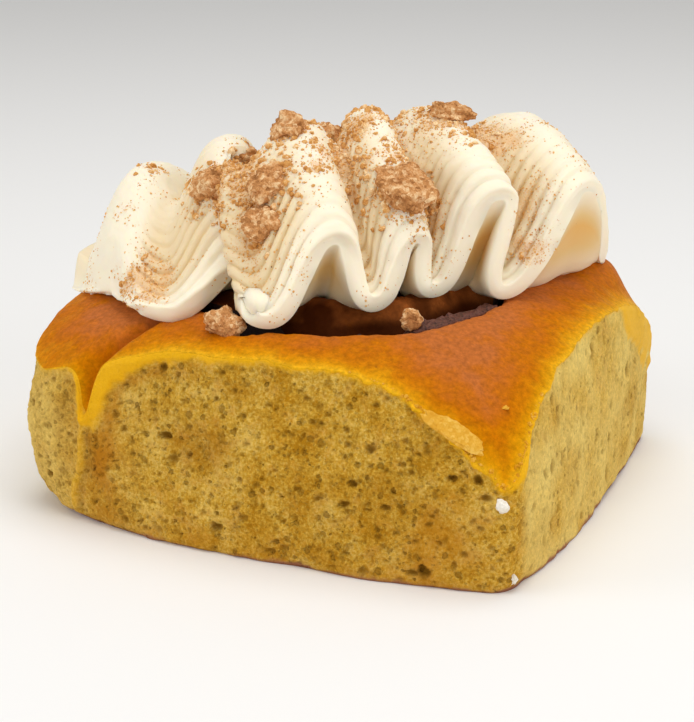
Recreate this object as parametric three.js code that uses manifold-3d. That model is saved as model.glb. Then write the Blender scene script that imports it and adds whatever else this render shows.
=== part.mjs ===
// A square, pull-apart cinnamon roll under one thick ribbon of piped frosting with crumble on top.
//
// Millimetres, +Z up. The origin is the middle of the flat underside, and the torn front faces -Y.
// Angles round the roll are degrees from +X, counter-clockwise seen from above.

import * as THREE from 'three';
import Module from 'manifold-3d';

// ---------------------------------------------------------------- driving dimensions

const CLEARANCE = 0.3;            // gap kept between pieces that touch
const FACET_TOLERANCE = { dough: 0.09, frosting: 0.14 };

// The baked dome: a round crown that the torn sides cut square.
const CROWN = {
  height: 46.5,
  radius: 69.2,
  rimPower: 2.9,                  // how squarely the crown turns down at its rim
  flatPower: 2.4,                 // how flat it stays near the middle
};

// Where the crown's rim stands wider or narrower: centre angle, spread and amount.
const CROWN_SWELLS = [
  { angle: 196, spread: 34, amount: 17 },
  { angle: 88, spread: 26, amount: 3 },
  { angle: 262, spread: 22, amount: 2 },
  { angle: 12, spread: 20, amount: 3.5 },
  { angle: 231.75, spread: 1.8, amount: -8.3 },
];

// A swelling of the crust behind the frosting's end, which dies out before it reaches the rim.
const CROWN_RISE = {
  amount: 6,
  x: { middle: 41, spread: 18, end: 50.5, fade: 9 },
  y: { middle: 34, spread: 16, end: 49, fade: 8 },
  level: { low: 31, fade: 6 },    // height of the crown where it starts, and over which it grows
};

// The torn sides: the way each faces, its distance from the middle, and how far it bows out.
const TORN_SIDES = [
  { facing: -91, distance: 53, bow: 3.8 },
  { facing: 1, distance: 50.9, bow: 2.5 },
  { facing: 90, distance: 49.5, bow: 3 },
  { facing: 178, distance: 57.2, bow: 0.6 },
  { facing: 222, distance: 70.3, bow: 0.8 },
];
const SIDE_HALF_LENGTH = 47;
const CORNER_SHARPNESS = 30;
const HEEL = { angle: 214, spread: 16, height: 9, inset: 5.5 };   // the rounded corner at the base
const BASE_EDGE = { height: 3, inset: 0.5 };
const BELLY = { angle: 200, spread: 22, amount: 2.4, level: 19, depth: 8 };
const LEFT_SHOULDER = { angle: 190, spread: 30, amount: 1.2, level: 34 };
const FRONT_SWELL = { angle: 290, spread: 12, amount: 0.8 };
const SIDE_TAPER = { amount: 1.3, level: 12, depth: 30 };

// How far the top of a torn side leans in, from a low to a high level: centre angle, spread, amount.
const SIDE_LEANS = [
  { angle: 244, spread: 10, amount: 3.1 },
  { angle: 265, spread: 16, amount: 2.1 },
  { angle: 292, spread: 16, amount: 4.7 },
  { angle: 308, spread: 7, amount: 0.5 },
  { angle: 318, spread: 7, amount: 1.7 },
  { angle: 332, spread: 12, amount: 1.7 },
  { angle: 352, spread: 14, amount: 1.1 },
];
const LEAN_LEVELS = { low: 8, high: 38 };

// The rolled dough: one spiral seam with the filling in it, opening as a groove in the crust.
const SPIRAL = {
  startAngle: 60,
  startRadius: 45,
  turned: 1050,                   // degrees from the outer end to the middle
  pitch: 13.4,                    // lost radius in each turn
  step: 15,
  slotWidth: 2.2,
  grooveDepth: 8,
  groove: 3,                      // width of the groove at the crust
  frontGroove: { turned: 208, spread: 40, amount: 6 },
  squeeze: { angle: 345, spread: 38, amount: 1.6 },
  overrun: { outer: 1.5, inner: 6 },   // degrees that the slot runs on past the filling
  lip: { drop: 0.5, above: 4, flare: 1.25 },
};
const FILLING = { thickness: 1.6, base: 0.4, rise: 1.6 };

// The frosting ribbon, folded to and fro across the roll. One row for each fold: where its front
// edge stands, the height of its top in the middle and of its back edge, the length of the curve
// that rounds it, the way it runs back and how far. Every other row is a valley, the first too.
const RIBBON_THICKNESS = 4;
const FOLDS = [
  { x: -58, y: -18.5, z: 39.5, top: 44, back: 41, round: 6, heading: 89, length: 40 },
  { x: -42, y: -31.5, z: 42, top: 62.5, back: 50, round: 6, heading: 92, length: 46 },
  { x: -26, y: -40, z: 42, top: 57, back: 45, round: 9, heading: 103, length: 50 },
  { x: -14, y: -30, z: 50, top: 69, back: 55, round: 6, heading: 112, length: 52 },
  { x: -3.7, y: -41.8, z: 43.8, top: 66, back: 46, round: 8, heading: 115, length: 54 },
  { x: 5, y: -29, z: 57.5, top: 73, back: 58, round: 6.5, heading: 117, length: 54 },
  { x: 13, y: -28.8, z: 46, top: 70, back: 47, round: 8, heading: 120, length: 54 },
  { x: 17.5, y: -18.5, z: 56.5, top: 75, back: 59, round: 5.5, heading: 122, length: 54 },
  { x: 21, y: -18, z: 46.9, top: 71, back: 47, round: 6.5, heading: 125, length: 54 },
  { x: 30.5, y: -8, z: 64, top: 75, back: 59, round: 7.5, heading: 128, length: 54 },
  { x: 33, y: -9.4, z: 45.7, top: 69, back: 46, round: 8, heading: 130, length: 52 },
  { x: 43, y: 7, z: 63.5, top: 72.5, back: 58, round: 8, heading: 130, length: 48 },
  { x: 42, y: 28, z: 45, top: 56, back: 44, round: 6, heading: 128, length: 30 },
];
const FOLD_TURN = 40;             // degrees that each fold turns on its way back
const CREST = { frontPower: 1.9, backPower: 2 };
const VALLEY = { slope: 0.1, backPower: 1.5 };
const CAVE = { front: 0.36, back: 0.26, floor: 45 };   // shares of a fold that are open below
const INNER_SQUEEZE = 0.45;       // share of the half thickness lost inside a tight fold
const HANDLES = { byGap: 0.45, byDrop: 0.42 };   // most that a fold's rounding reaches
const WALL_STATIONS = [0, 0.16, 0.38, 0.62, 0.84, 1];
const LENGTH_STATIONS = [0, 0.014, 0.045, 0.12, 0.23, 0.36, 0.5, 0.64, 0.78, 0.91, 0.984, 1];

// The end of the piping stroke, a smooth lobe that fills the last arch.
const TAIL_LOBE = { x: 34, y: 21.5, z: 50.5, sizeX: 13, sizeY: 25, sizeZ: 22, turn: -13 };

// Crumble lumps: fold number and share of its length, or a place on the crust; then three sizes.
const LUMPS = [
  { fold: 2.86, along: 0.24, sizes: [9, 9, 6.5] },
  { fold: 4.36, along: 0.36, sizes: [12, 8, 6] },
  { fold: 6.98, along: 0.13, sizes: [14.5, 10, 7] },
  { fold: 4.28, along: 0.26, sizes: [8.5, 8.5, 6] },
  { fold: 3.4, along: 0.56, sizes: [8, 7, 5.5] },
  { fold: 4.85, along: 0.45, sizes: [8, 6.5, 5.5] },
  { fold: 5.5, along: 0.62, sizes: [10, 8, 5.5] },
  { fold: 9.05, along: 0.4, sizes: [10, 7, 4.5] },
  { crust: [-13.5, -40.5], sizes: [8, 7, 6] },
];
const LUMP_SINK = 0.4;            // share of a lump's height that sits in the frosting
const LUMP_ROUGHNESS = 0.16;

// ---------------------------------------------------------------- small helpers

const radians = THREE.MathUtils.degToRad;
const degrees = THREE.MathUtils.radToDeg;
const smooth = (value) => THREE.MathUtils.smoothstep(value, 0, 1);
const clamp = THREE.MathUtils.clamp;

// How far one angle lies from another, in degrees from -180 to 180.
function angleBetween(angle, other) {
  return THREE.MathUtils.euclideanModulo(angle - other + 180, 360) - 180;
}

// A bell of height 1 round an angle.
function bell(angle, centre, spread) {
  return Math.exp(-((angleBetween(angle, centre) / spread) ** 2));
}

// A closed mesh from a list of rings, each a list of points, with a cap of triangles at each end.
function loft(rings, startCap, endCap) {
  const count = rings[0].length;
  const positions = rings.flat().flatMap((point) => point.toArray());
  const index = [];
  for (let row = 0; row < rings.length - 1; row += 1) {
    for (let i = 0; i < count; i += 1) {
      const a = row * count + i;
      const b = row * count + ((i + 1) % count);
      index.push(a, b, b + count, a, b + count, a + count);
    }
  }
  const last = (rings.length - 1) * count;
  startCap.forEach(([a, b, c]) => index.push(a, c, b));
  endCap.forEach(([a, b, c]) => index.push(last + a, last + b, last + c));
  return { positions, index };
}

// Triangles that close a ring whose two halves run side by side, from one end to the other.
function zigzag(count) {
  const triangles = [];
  let low = 0;
  let high = count - 1;
  while (high - low > 1) {
    triangles.push([low, low + 1, high]);
    low += 1;
    if (high - low > 1) {
      triangles.push([low, high - 1, high]);
      high -= 1;
    }
  }
  return triangles;
}

function volumeOf({ positions, index }) {
  const corner = (i) => new THREE.Vector3().fromArray(positions, 3 * index[i]);
  let sum = 0;
  for (let i = 0; i < index.length; i += 3) {
    sum += corner(i).dot(corner(i + 1).cross(corner(i + 2)));
  }
  return sum / 6;
}

const wasm = await Module();
wasm.setup();

// A manifold-3d solid from plain positions and triangles, turned so that its faces point out.
function solidFrom(mesh) {
  const index = Uint32Array.from(mesh.index);
  if (volumeOf(mesh) < 0) {
    for (let i = 0; i < index.length; i += 3) {
      [index[i], index[i + 1]] = [index[i + 1], index[i]];
    }
  }
  return new wasm.Manifold(new wasm.Mesh({
    numProp: 3,
    vertProperties: Float32Array.from(mesh.positions),
    triVerts: index,
  }));
}

// The biggest separate body of a solid: cuts can leave loose slivers.
function mainBody(solid) {
  return solid.decompose().sort((a, b) => b.volume() - a.volume())[0];
}

function geometryOf(solid) {
  const mesh = solid.getMesh();
  const geometry = new THREE.BufferGeometry();
  geometry.setAttribute('position', new THREE.BufferAttribute(Float32Array.from(mesh.vertProperties), 3));
  geometry.setIndex(new THREE.BufferAttribute(Uint32Array.from(mesh.triVerts), 1));
  geometry.computeVertexNormals();
  return geometry;
}

// ---------------------------------------------------------------- the bun

const BUN_MESH = { segments: 72, crustRings: 7, sideRings: 6 };

function crownRadius(angle) {
  return CROWN_SWELLS.reduce(
    (radius, swell) => radius + swell.amount * bell(angle, swell.angle, swell.spread),
    CROWN.radius,
  );
}

// Share of the rise at one plan coordinate.
function riseShare(value, { middle, spread, end, fade }) {
  return Math.exp(-(((value - middle) / spread) ** 2)) * smooth((end - value) / fade);
}

// Height of the crust over a place in plan.
function crustHeight(angle, radius) {
  const share = clamp(1 - (radius / crownRadius(angle)) ** CROWN.flatPower, 0, 1);
  const crown = CROWN.height * share ** (1 / CROWN.rimPower);
  const x = radius * Math.cos(radians(angle));
  const y = radius * Math.sin(radians(angle));
  const grown = smooth((crown - CROWN_RISE.level.low) / CROWN_RISE.level.fade);
  return crown + CROWN_RISE.amount * riseShare(x, CROWN_RISE.x) * riseShare(y, CROWN_RISE.y) * grown;
}

// Plan radius of the crown at a height.
function crustReach(angle, height) {
  const share = clamp(1 - (height / CROWN.height) ** CROWN.rimPower, 0, 1);
  return crownRadius(angle) * share ** (1 / CROWN.flatPower);
}

// Plan radius of the four-sided tear, each side an arc, with its corners rounded a little.
function tearRadius(angle) {
  const sum = TORN_SIDES.reduce((total, side) => {
    const arc = (SIDE_HALF_LENGTH ** 2 + side.bow ** 2) / (2 * side.bow);
    const centre = side.distance - arc;
    const turn = radians(angleBetween(angle, side.facing));
    const reach = centre * Math.cos(turn) + Math.sqrt(Math.max(arc ** 2 - (centre * Math.sin(turn)) ** 2, 1));
    return total + reach ** -CORNER_SHARPNESS;
  }, 0);
  return sum ** (-1 / CORNER_SHARPNESS);
}

// Plan radius of the torn side at a height, with its rounded heel, belly and taper.
function sideReach(angle, height) {
  const heel = bell(angle, HEEL.angle, HEEL.spread);
  const curl = clamp(height / (BASE_EDGE.height + HEEL.height * heel), 0, 1);
  const tuck = (BASE_EDGE.inset + HEEL.inset * heel) * (1 - Math.sqrt(1 - (1 - curl) ** 2));
  const belly = BELLY.amount * bell(angle, BELLY.angle, BELLY.spread)
    * Math.exp(-(((height - BELLY.level) / BELLY.depth) ** 2));
  const shoulder = LEFT_SHOULDER.amount * bell(angle, LEFT_SHOULDER.angle, LEFT_SHOULDER.spread)
    * (height / LEFT_SHOULDER.level) ** 2;
  const taper = SIDE_TAPER.amount * ((height - SIDE_TAPER.level) / SIDE_TAPER.depth) ** 2;
  const swell = FRONT_SWELL.amount * bell(angle, FRONT_SWELL.angle, FRONT_SWELL.spread);
  const risen = smooth((height - LEAN_LEVELS.low) / (LEAN_LEVELS.high - LEAN_LEVELS.low));
  const lean = SIDE_LEANS.reduce(
    (sum, part) => sum + part.amount * bell(angle, part.angle, part.spread),
    0,
  );
  return tearRadius(angle) - tuck + belly - shoulder - taper + swell - lean * risen;
}

// Height at which the crust meets the torn side.
function tearHeight(angle) {
  let low = 0;
  let high = CROWN.height;
  for (let i = 0; i < 24; i += 1) {
    const middle = (low + high) / 2;
    if (crustReach(angle, middle) > sideReach(angle, middle)) low = middle;
    else high = middle;
  }
  return (low + high) / 2;
}

function planPoint(angle, radius, z) {
  return new THREE.Vector3(radius * Math.cos(radians(angle)), radius * Math.sin(radians(angle)), z);
}

// The whole bun without its seam, grown by an amount all round.
function bunSolid(grow) {
  const { segments, crustRings, sideRings } = BUN_MESH;
  const angles = Array.from({ length: segments }, (_, i) => (360 * i) / segments);
  const edges = angles.map((angle) => {
    const height = tearHeight(angle);
    return { angle, height, radius: sideReach(angle, height) };
  });
  const rings = [];
  for (let row = 1; row <= crustRings; row += 1) {
    const share = (row / crustRings) ** 0.75;
    rings.push(edges.map(({ angle, radius }) => (
      planPoint(angle, radius * share + grow, crustHeight(angle, radius * share) + grow))));
  }
  for (let row = 1; row <= sideRings; row += 1) {
    const share = (1 - row / sideRings) ** 1.6;
    rings.push(edges.map(({ angle, height }) => (
      planPoint(angle, sideReach(angle, height * share) + grow, height * share))));
  }
  const positions = rings.flat().flatMap((point) => point.toArray());
  const { index } = loft(rings, [], []);
  const crownPoint = positions.length / 3;
  positions.push(0, 0, CROWN.height + grow, 0, 0, 0);
  const lastRing = (rings.length - 1) * segments;
  for (let i = 0; i < segments; i += 1) {
    const next = (i + 1) % segments;
    index.push(crownPoint, next, i);
    index.push(crownPoint + 1, lastRing + i, lastRing + next);
  }
  return solidFrom({ positions, index });
}

// ---------------------------------------------------------------- the seam and its filling

function spiralAngle(turned) {
  return SPIRAL.startAngle + turned;
}

function spiralRadius(turned) {
  const { startRadius, pitch, squeeze } = SPIRAL;
  return startRadius - (pitch * turned) / 360
    - squeeze.amount * bell(spiralAngle(turned), squeeze.angle, squeeze.spread);
}

// Half the width of the groove where it meets the crust.
function grooveHalfWidth(turned) {
  const { groove, frontGroove } = SPIRAL;
  const opening = Math.exp(-(((turned - frontGroove.turned) / frontGroove.spread) ** 2));
  return (groove + frontGroove.amount * opening) / 2;
}

// A wall along the spiral: profile gives its half widths and heights from the bottom up.
function spiralSolid(fromTurned, toTurned, profile) {
  const stations = [fromTurned];
  for (let turned = SPIRAL.step; turned < SPIRAL.turned; turned += SPIRAL.step) stations.push(turned);
  stations.push(toTurned);
  const rings = stations.map((turned) => {
    const angle = spiralAngle(turned);
    const radius = spiralRadius(turned);
    const levels = profile(turned, crustHeight(angle, radius));
    const inner = levels.map(([half, z]) => planPoint(angle, radius - half, z));
    const outer = levels.map(([half, z]) => planPoint(angle, radius + half, z));
    return [...inner, ...outer.reverse()];
  });
  const cap = zigzag(rings[0].length);
  return solidFrom(loft(rings, cap, cap));
}

function seamSlot() {
  const { slotWidth, grooveDepth, overrun, lip } = SPIRAL;
  const half = slotWidth / 2;
  return spiralSolid(-overrun.outer, SPIRAL.turned + overrun.inner, (turned, crust) => {
    const opening = grooveHalfWidth(turned);
    return [
      [half, -1],
      [half, crust - grooveDepth],
      [opening, crust - lip.drop],
      [opening * lip.flare, crust + lip.above],
    ];
  });
}

function fillingSolid() {
  const half = FILLING.thickness / 2;
  const slotHalf = SPIRAL.slotWidth / 2;
  return spiralSolid(0, SPIRAL.turned, (turned, crust) => {
    const shoulder = crust - SPIRAL.grooveDepth;
    const spread = (grooveHalfWidth(turned) - slotHalf) * (FILLING.rise / SPIRAL.grooveDepth);
    return [[half, FILLING.base], [half, shoulder], [half + spread, shoulder + FILLING.rise]];
  });
}

// ---------------------------------------------------------------- the frosting ribbon

const isValley = (fold) => fold % 2 === 0;

// Plan place of a fold at a share of its length, on a path that turns steadily.
function foldPlace(fold, along) {
  const { x, y, heading, length } = FOLDS[fold];
  const start = radians(heading + FOLD_TURN / 2);
  const turn = radians(FOLD_TURN);
  const angle = start - turn * along;
  return new THREE.Vector2(
    x - ((Math.sin(angle) - Math.sin(start)) / turn) * length,
    y + ((Math.cos(angle) - Math.cos(start)) / turn) * length,
  );
}

function foldTopHeight(fold, along) {
  const { z, top, back } = FOLDS[fold];
  const front = clamp(2 * along, 0, 1);
  const rear = clamp(2 * along - 1, 0, 1);
  const rise = isValley(fold)
    ? VALLEY.slope * front + (1 - VALLEY.slope) * smooth(front)
    : 1 - (1 - front) ** CREST.frontPower;
  const fall = rear ** (isValley(fold) ? VALLEY.backPower : CREST.backPower);
  return z + (top - z) * rise + (back - top) * fall;
}

// The lower side closes down behind the caves that show at the front and the back.
function foldUnderHeight(fold, along) {
  const { z, back } = FOLDS[fold];
  const front = smooth(along / CAVE.front);
  const rear = smooth((along - 1 + CAVE.back) / CAVE.back);
  return z + (CAVE.floor - z) * front + (back - CAVE.floor) * rear;
}

function foldPoint(fold, along, under) {
  const { x, y } = foldPlace(fold, along);
  return new THREE.Vector3(x, y, under ? foldUnderHeight(fold, along) : foldTopHeight(fold, along));
}

// Plan direction in which the ribbon crosses a fold.
function crossing(fold, along) {
  const before = foldPlace(Math.max(fold - 1, 0), along);
  const after = foldPlace(Math.min(fold + 1, FOLDS.length - 1), along);
  const way = after.sub(before).normalize();
  return new THREE.Vector3(way.x, way.y, 0);
}

// The point of one side of the ribbon between a fold and the next, and the way that side faces.
function wallPoint(fold, share, along, under) {
  const start = foldPoint(fold, along, under);
  const end = foldPoint(fold + 1, along, under);
  const gap = Math.hypot(end.x - start.x, end.y - start.y);
  const reach = Math.max(HANDLES.byGap * gap, HANDLES.byDrop * Math.abs(end.z - start.z));
  const leave = crossing(fold, along).multiplyScalar(Math.min(FOLDS[fold].round, reach));
  const arrive = crossing(fold + 1, along).multiplyScalar(Math.min(FOLDS[fold + 1].round, reach));
  return new THREE.CubicBezierCurve3(start, start.clone().add(leave), end.clone().sub(arrive), end)
    .getPoint(share);
}

function wallNormal(fold, share, along, under) {
  const nudge = 1e-3;
  const [lowAlong, highAlong] = [Math.max(along - nudge, 0), Math.min(along + nudge, 1)];
  const atFold = share === 0 || share === 1;
  const across = atFold
    ? crossing(fold + share, along)
    : wallPoint(fold, share + nudge, along, under).sub(wallPoint(fold, share - nudge, along, under));
  const lengthwise = atFold
    ? foldPoint(fold + share, highAlong, under).sub(foldPoint(fold + share, lowAlong, under))
    : wallPoint(fold, share, highAlong, under).sub(wallPoint(fold, share, lowAlong, under));
  return across.cross(lengthwise).normalize();
}

// Half the ribbon's thickness: rounded off at its edges, squeezed inside a tight fold.
function halfThickness(fold, share, along, under) {
  const length = THREE.MathUtils.lerp(FOLDS[fold].length, FOLDS[fold + 1].length, share);
  const half = RIBBON_THICKNESS / 2;
  const inward = clamp((Math.min(along, 1 - along) * length) / half, 0, 1);
  const edge = Math.sqrt(1 - (1 - inward) ** 2);
  const nearest = fold + Math.round(share);
  const inside = isValley(nearest) !== under;
  const squeeze = inside ? INNER_SQUEEZE * Math.abs(Math.cos(Math.PI * share)) ** 4 : 0;
  return half * edge * (1 - squeeze);
}

function ribbonSurfacePoint(fold, share, along, under, grow) {
  const offset = halfThickness(fold, share, along, under) + grow;
  const normal = wallNormal(fold, share, along, under);
  return wallPoint(fold, share, along, under).addScaledVector(normal, under ? -offset : offset);
}

// The ribbon from one fold to the next, as a closed solid.
function ribbonWall(fold, grow) {
  const rings = WALL_STATIONS.map((share) => {
    const top = LENGTH_STATIONS.map((along) => ribbonSurfacePoint(fold, share, along, false, grow));
    const under = LENGTH_STATIONS.slice(1, -1)
      .map((along) => ribbonSurfacePoint(fold, share, along, true, grow));
    return [...top, ...under.reverse()];
  });
  const cap = zigzag(rings[0].length);
  return solidFrom(loft(rings, cap, cap));
}

function tailLobe(grow) {
  const geometry = new THREE.SphereGeometry(0.5, 16, 10);
  geometry.scale(TAIL_LOBE.sizeX + 2 * grow, TAIL_LOBE.sizeY + 2 * grow, TAIL_LOBE.sizeZ + 2 * grow);
  geometry.rotateZ(radians(TAIL_LOBE.turn));
  geometry.translate(TAIL_LOBE.x, TAIL_LOBE.y, TAIL_LOBE.z);
  return solidFrom(mergedMesh(geometry));
}

// Positions and triangles of a three.js geometry with the points that coincide made one.
function mergedMesh(geometry) {
  const source = geometry.getAttribute('position');
  const known = new Map();
  const positions = [];
  const renumber = Array.from({ length: source.count }, (_, i) => {
    const point = [source.getX(i), source.getY(i), source.getZ(i)];
    const key = point.map((value) => value.toFixed(4)).join(' ');
    if (!known.has(key)) {
      known.set(key, known.size);
      positions.push(...point);
    }
    return known.get(key);
  });
  const corners = geometry.index ? Array.from(geometry.index.array) : renumber.map((_, i) => i);
  const index = [];
  for (let i = 0; i < corners.length; i += 3) {
    const [a, b, c] = [0, 1, 2].map((step) => renumber[corners[i + step]]);
    if (a !== b && b !== c && c !== a) index.push(a, b, c);
  }
  return { positions, index };
}

function ribbonSolid(grow) {
  let ribbon = tailLobe(grow);
  for (let fold = 0; fold < FOLDS.length - 1; fold += 1) ribbon = ribbon.add(ribbonWall(fold, grow));
  return ribbon;
}

// ---------------------------------------------------------------- crumble lumps

// A fixed, uneven value for a direction, the same every time.
function unevenness(point, seed) {
  const wave = Math.sin(point.x * 5.1 + seed * 2.3) + Math.sin(point.y * 4.3 + seed * 1.7)
    + Math.sin(point.z * 6.2 + seed * 3.1) + Math.sin((point.x - point.y) * 7.7 + seed * 0.9);
  return wave / 4;
}

function lumpPlace({ fold, along, crust }) {
  if (crust) {
    const [x, y] = crust;
    const height = crustHeight(degrees(Math.atan2(y, x)), Math.hypot(x, y));
    return { base: new THREE.Vector3(x, y, height), up: new THREE.Vector3(0, 0, 1) };
  }
  const row = Math.floor(fold);
  return {
    base: ribbonSurfacePoint(row, fold - row, along, false, 0),
    up: wallNormal(row, fold - row, along, false),
  };
}

function lumpSolid(lump, seed) {
  const [long, wide, tall] = lump.sizes;
  const { base, up } = lumpPlace(lump);
  const geometry = new THREE.IcosahedronGeometry(0.5, 1);
  const position = geometry.getAttribute('position');
  const point = new THREE.Vector3();
  for (let i = 0; i < position.count; i += 1) {
    point.fromBufferAttribute(position, i).normalize();
    point.multiplyScalar(0.5 * (1 + LUMP_ROUGHNESS * unevenness(point, seed)));
    position.setXYZ(i, point.x, point.y, point.z);
  }
  geometry.scale(long, wide, tall);
  geometry.rotateZ(radians(47 * seed));
  const lean = new THREE.Vector3(0, 0, 2).add(up).normalize();
  geometry.applyQuaternion(new THREE.Quaternion().setFromUnitVectors(new THREE.Vector3(0, 0, 1), lean));
  const centre = base.addScaledVector(lean, tall * (0.5 - LUMP_SINK));
  geometry.translate(centre.x, centre.y, centre.z);
  return solidFrom(mergedMesh(geometry));
}

// ---------------------------------------------------------------- the roll

const grownBun = bunSolid(CLEARANCE);
const dough = mainBody(bunSolid(0).subtract(seamSlot()).simplify(FACET_TOLERANCE.dough));
const filling = fillingSolid();
const frosting = mainBody(ribbonSolid(0).subtract(grownBun).simplify(FACET_TOLERANCE.frosting));
const grownFrosting = ribbonSolid(CLEARANCE);

const PIECES = [
  { name: 'dough', solid: dough, color: '#c47a24', roughness: 0.8 },
  { name: 'cinnamon_filling', solid: filling, color: '#4a2817', roughness: 0.7 },
  { name: 'frosting', solid: frosting, color: '#f3ead0', roughness: 0.55 },
];
LUMPS.forEach((lump, i) => {
  const solid = mainBody(lumpSolid(lump, i + 1).subtract(grownFrosting).subtract(grownBun));
  const name = `streusel_${String(i + 1).padStart(2, '0')}`;
  PIECES.push({ name, solid, color: '#b8844c', roughness: 0.9 });
});

const roll = new THREE.Group();
PIECES.forEach(({ name, solid, color, roughness }) => {
  const material = new THREE.MeshStandardMaterial({ color, roughness, metalness: 0 });
  const mesh = new THREE.Mesh(geometryOf(solid), material);
  mesh.name = name;
  roll.add(mesh);
});

export default roll;
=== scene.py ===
"""The looks of a square, pull-apart cinnamon roll under a folded ribbon of piped frosting and crumble.

Shapes are worked out in millimetres and turned to metres when a mesh is made. The origin is the middle of
the flat underside, +Z is up and the large torn front faces -Y. Angles round the roll are degrees from +X,
counter-clockwise seen from above.
"""

import itertools
import logging
import math
from dataclasses import dataclass, field
from enum import Enum

import bpy
import numpy as np
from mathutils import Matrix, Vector


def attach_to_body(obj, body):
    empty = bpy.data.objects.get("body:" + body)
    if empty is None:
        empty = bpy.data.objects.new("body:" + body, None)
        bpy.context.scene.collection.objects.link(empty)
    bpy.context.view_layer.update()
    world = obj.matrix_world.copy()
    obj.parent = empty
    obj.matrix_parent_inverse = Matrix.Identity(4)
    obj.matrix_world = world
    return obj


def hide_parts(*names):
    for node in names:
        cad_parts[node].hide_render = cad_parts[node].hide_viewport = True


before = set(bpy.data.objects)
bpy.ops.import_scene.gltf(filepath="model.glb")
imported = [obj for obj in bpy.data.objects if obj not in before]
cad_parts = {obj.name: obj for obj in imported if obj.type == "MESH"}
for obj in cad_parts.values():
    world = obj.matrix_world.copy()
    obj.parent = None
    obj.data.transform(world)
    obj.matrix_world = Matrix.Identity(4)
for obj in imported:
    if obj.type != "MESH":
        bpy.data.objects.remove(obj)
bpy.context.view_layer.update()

LOG = logging.getLogger("cinnamon_roll")
MM = 0.001                       # metres in a millimetre
PER_MM = 1000.0                  # scale of a texture whose features are one millimetre wide
BODY = "root"


class Slot(Enum):
    """The record's material slots."""

    DOUGH = "dough"
    FILLING = "filling"
    FROSTING = "frosting"
    STREUSEL = "streusel"


# ---------------------------------------------------------------- small helpers


def linear(hex_color: str) -> tuple[float, float, float, float]:
    """Turn an sRGB hex colour to linear red, green, blue and alpha.

    Args:
        hex_color: The colour as #RRGGBB.

    Returns:
        Four numbers from 0 to 1.
    """
    parts = [int(hex_color[i : i + 2], 16) / 255 for i in (1, 3, 5)]
    red, green, blue = (p / 12.92 if p <= 0.04045 else ((p + 0.055) / 1.055) ** 2.4 for p in parts)
    return red, green, blue, 1.0


def smooth(value: np.ndarray | float) -> np.ndarray:
    """Ease a share from 0 to 1, flat at both ends."""
    share = np.clip(value, 0, 1)
    return share * share * (3 - 2 * share)


def turn_between(angle: np.ndarray | float, other: float) -> np.ndarray:
    """Give how far one angle lies from another, in degrees from -180 to 180."""
    return (angle - other + 180) % 360 - 180


def bell(angle: np.ndarray | float, centre: float, spread: float) -> np.ndarray:
    """Give a bell of height 1 round an angle."""
    return np.exp(-((turn_between(angle, centre) / spread) ** 2))


def unit(vectors: np.ndarray) -> np.ndarray:
    """Scale vectors in the last axis to length 1."""
    return vectors / np.maximum(np.linalg.norm(vectors, axis=-1, keepdims=True), 1e-9)


def polar(angle: np.ndarray, radius: np.ndarray, height: np.ndarray) -> np.ndarray:
    """Place points by their angle in degrees, plan radius and height."""
    turn = np.radians(angle)
    return np.stack(np.broadcast_arrays(radius * np.cos(turn), radius * np.sin(turn), height), -1)


def lattice_random(cells: np.ndarray, seed: int) -> np.ndarray:
    """Give each whole-number lattice point its own random number from 0 to 1, the same every time.

    Args:
        cells: Whole coordinates, three in the last axis.
        seed: Which set of numbers.

    Returns:
        One number for each point.
    """
    c = cells.astype(np.int64).astype(np.uint32)
    mixed = c[..., 0] * np.uint32(374761393) + c[..., 1] * np.uint32(668265263)
    mixed = mixed + c[..., 2] * np.uint32(2246822519)
    mixed = mixed + np.uint32((seed * 3266489917) & 0xFFFFFFFF)
    mixed = (mixed ^ (mixed >> np.uint32(15))) * np.uint32(2246822519)
    mixed = (mixed ^ (mixed >> np.uint32(13))) * np.uint32(3266489917)
    mixed = mixed ^ (mixed >> np.uint32(16))
    return mixed.astype(np.float64) / 4294967295.0


def noise(points: np.ndarray, size: float, seed: int) -> np.ndarray:
    """Give smooth noise from -1 to 1 whose waves are about one size wide.

    Args:
        points: Places in millimetres, three coordinates in the last axis.
        size: Width of a wave in millimetres.
        seed: Which noise.

    Returns:
        One number for each point.
    """
    place = points / size
    cell = np.floor(place)
    part = smooth(place - cell)
    total = np.zeros(points.shape[:-1])
    for corner in itertools.product((0, 1), repeat=3):
        weight = np.prod(np.where(np.array(corner) == 1, part, 1 - part), axis=-1)
        total += weight * lattice_random(cell + np.array(corner), seed)
    return 2 * total - 1


def rough_noise(points: np.ndarray, size: float, octaves: int, seed: int) -> np.ndarray:
    """Add up noises, each half as wide and half as strong as the one before."""
    return sum(noise(points, size / 2**i, seed + i) / 2**i for i in range(octaves))


def bubbles(points: np.ndarray, cell: float, smallest: float, largest: float, share: float,
            seed: int) -> np.ndarray:
    """Give how deep each point lies in scattered round bubbles, one at most in each cell.

    Args:
        points: Places in millimetres, three coordinates in the last axis.
        cell: Mean distance between bubbles.
        smallest: Smallest radius.
        largest: Largest radius.
        share: Share of the cells that have a bubble.
        seed: Which set of bubbles.

    Returns:
        Depth in millimetres of the surface as hollowed by the deepest bubble there, 0 outside all.
    """
    home = np.floor(points / cell)
    depth = np.zeros(points.shape[:-1])
    for step in itertools.product((-1, 0, 1), repeat=3):
        near = home + np.array(step)
        offset = np.stack([lattice_random(near, seed + i) for i in range(3)], -1)
        radius = smallest + (largest - smallest) * lattice_random(near, seed + 3) ** 2
        there = lattice_random(near, seed + 4) < share
        distance = np.linalg.norm((near + offset) * cell - points, axis=-1)
        bowl = np.sqrt(np.clip(radius**2 - distance**2, 0, None))
        depth = np.where(there, np.maximum(depth, bowl), depth)
    return depth


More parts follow.
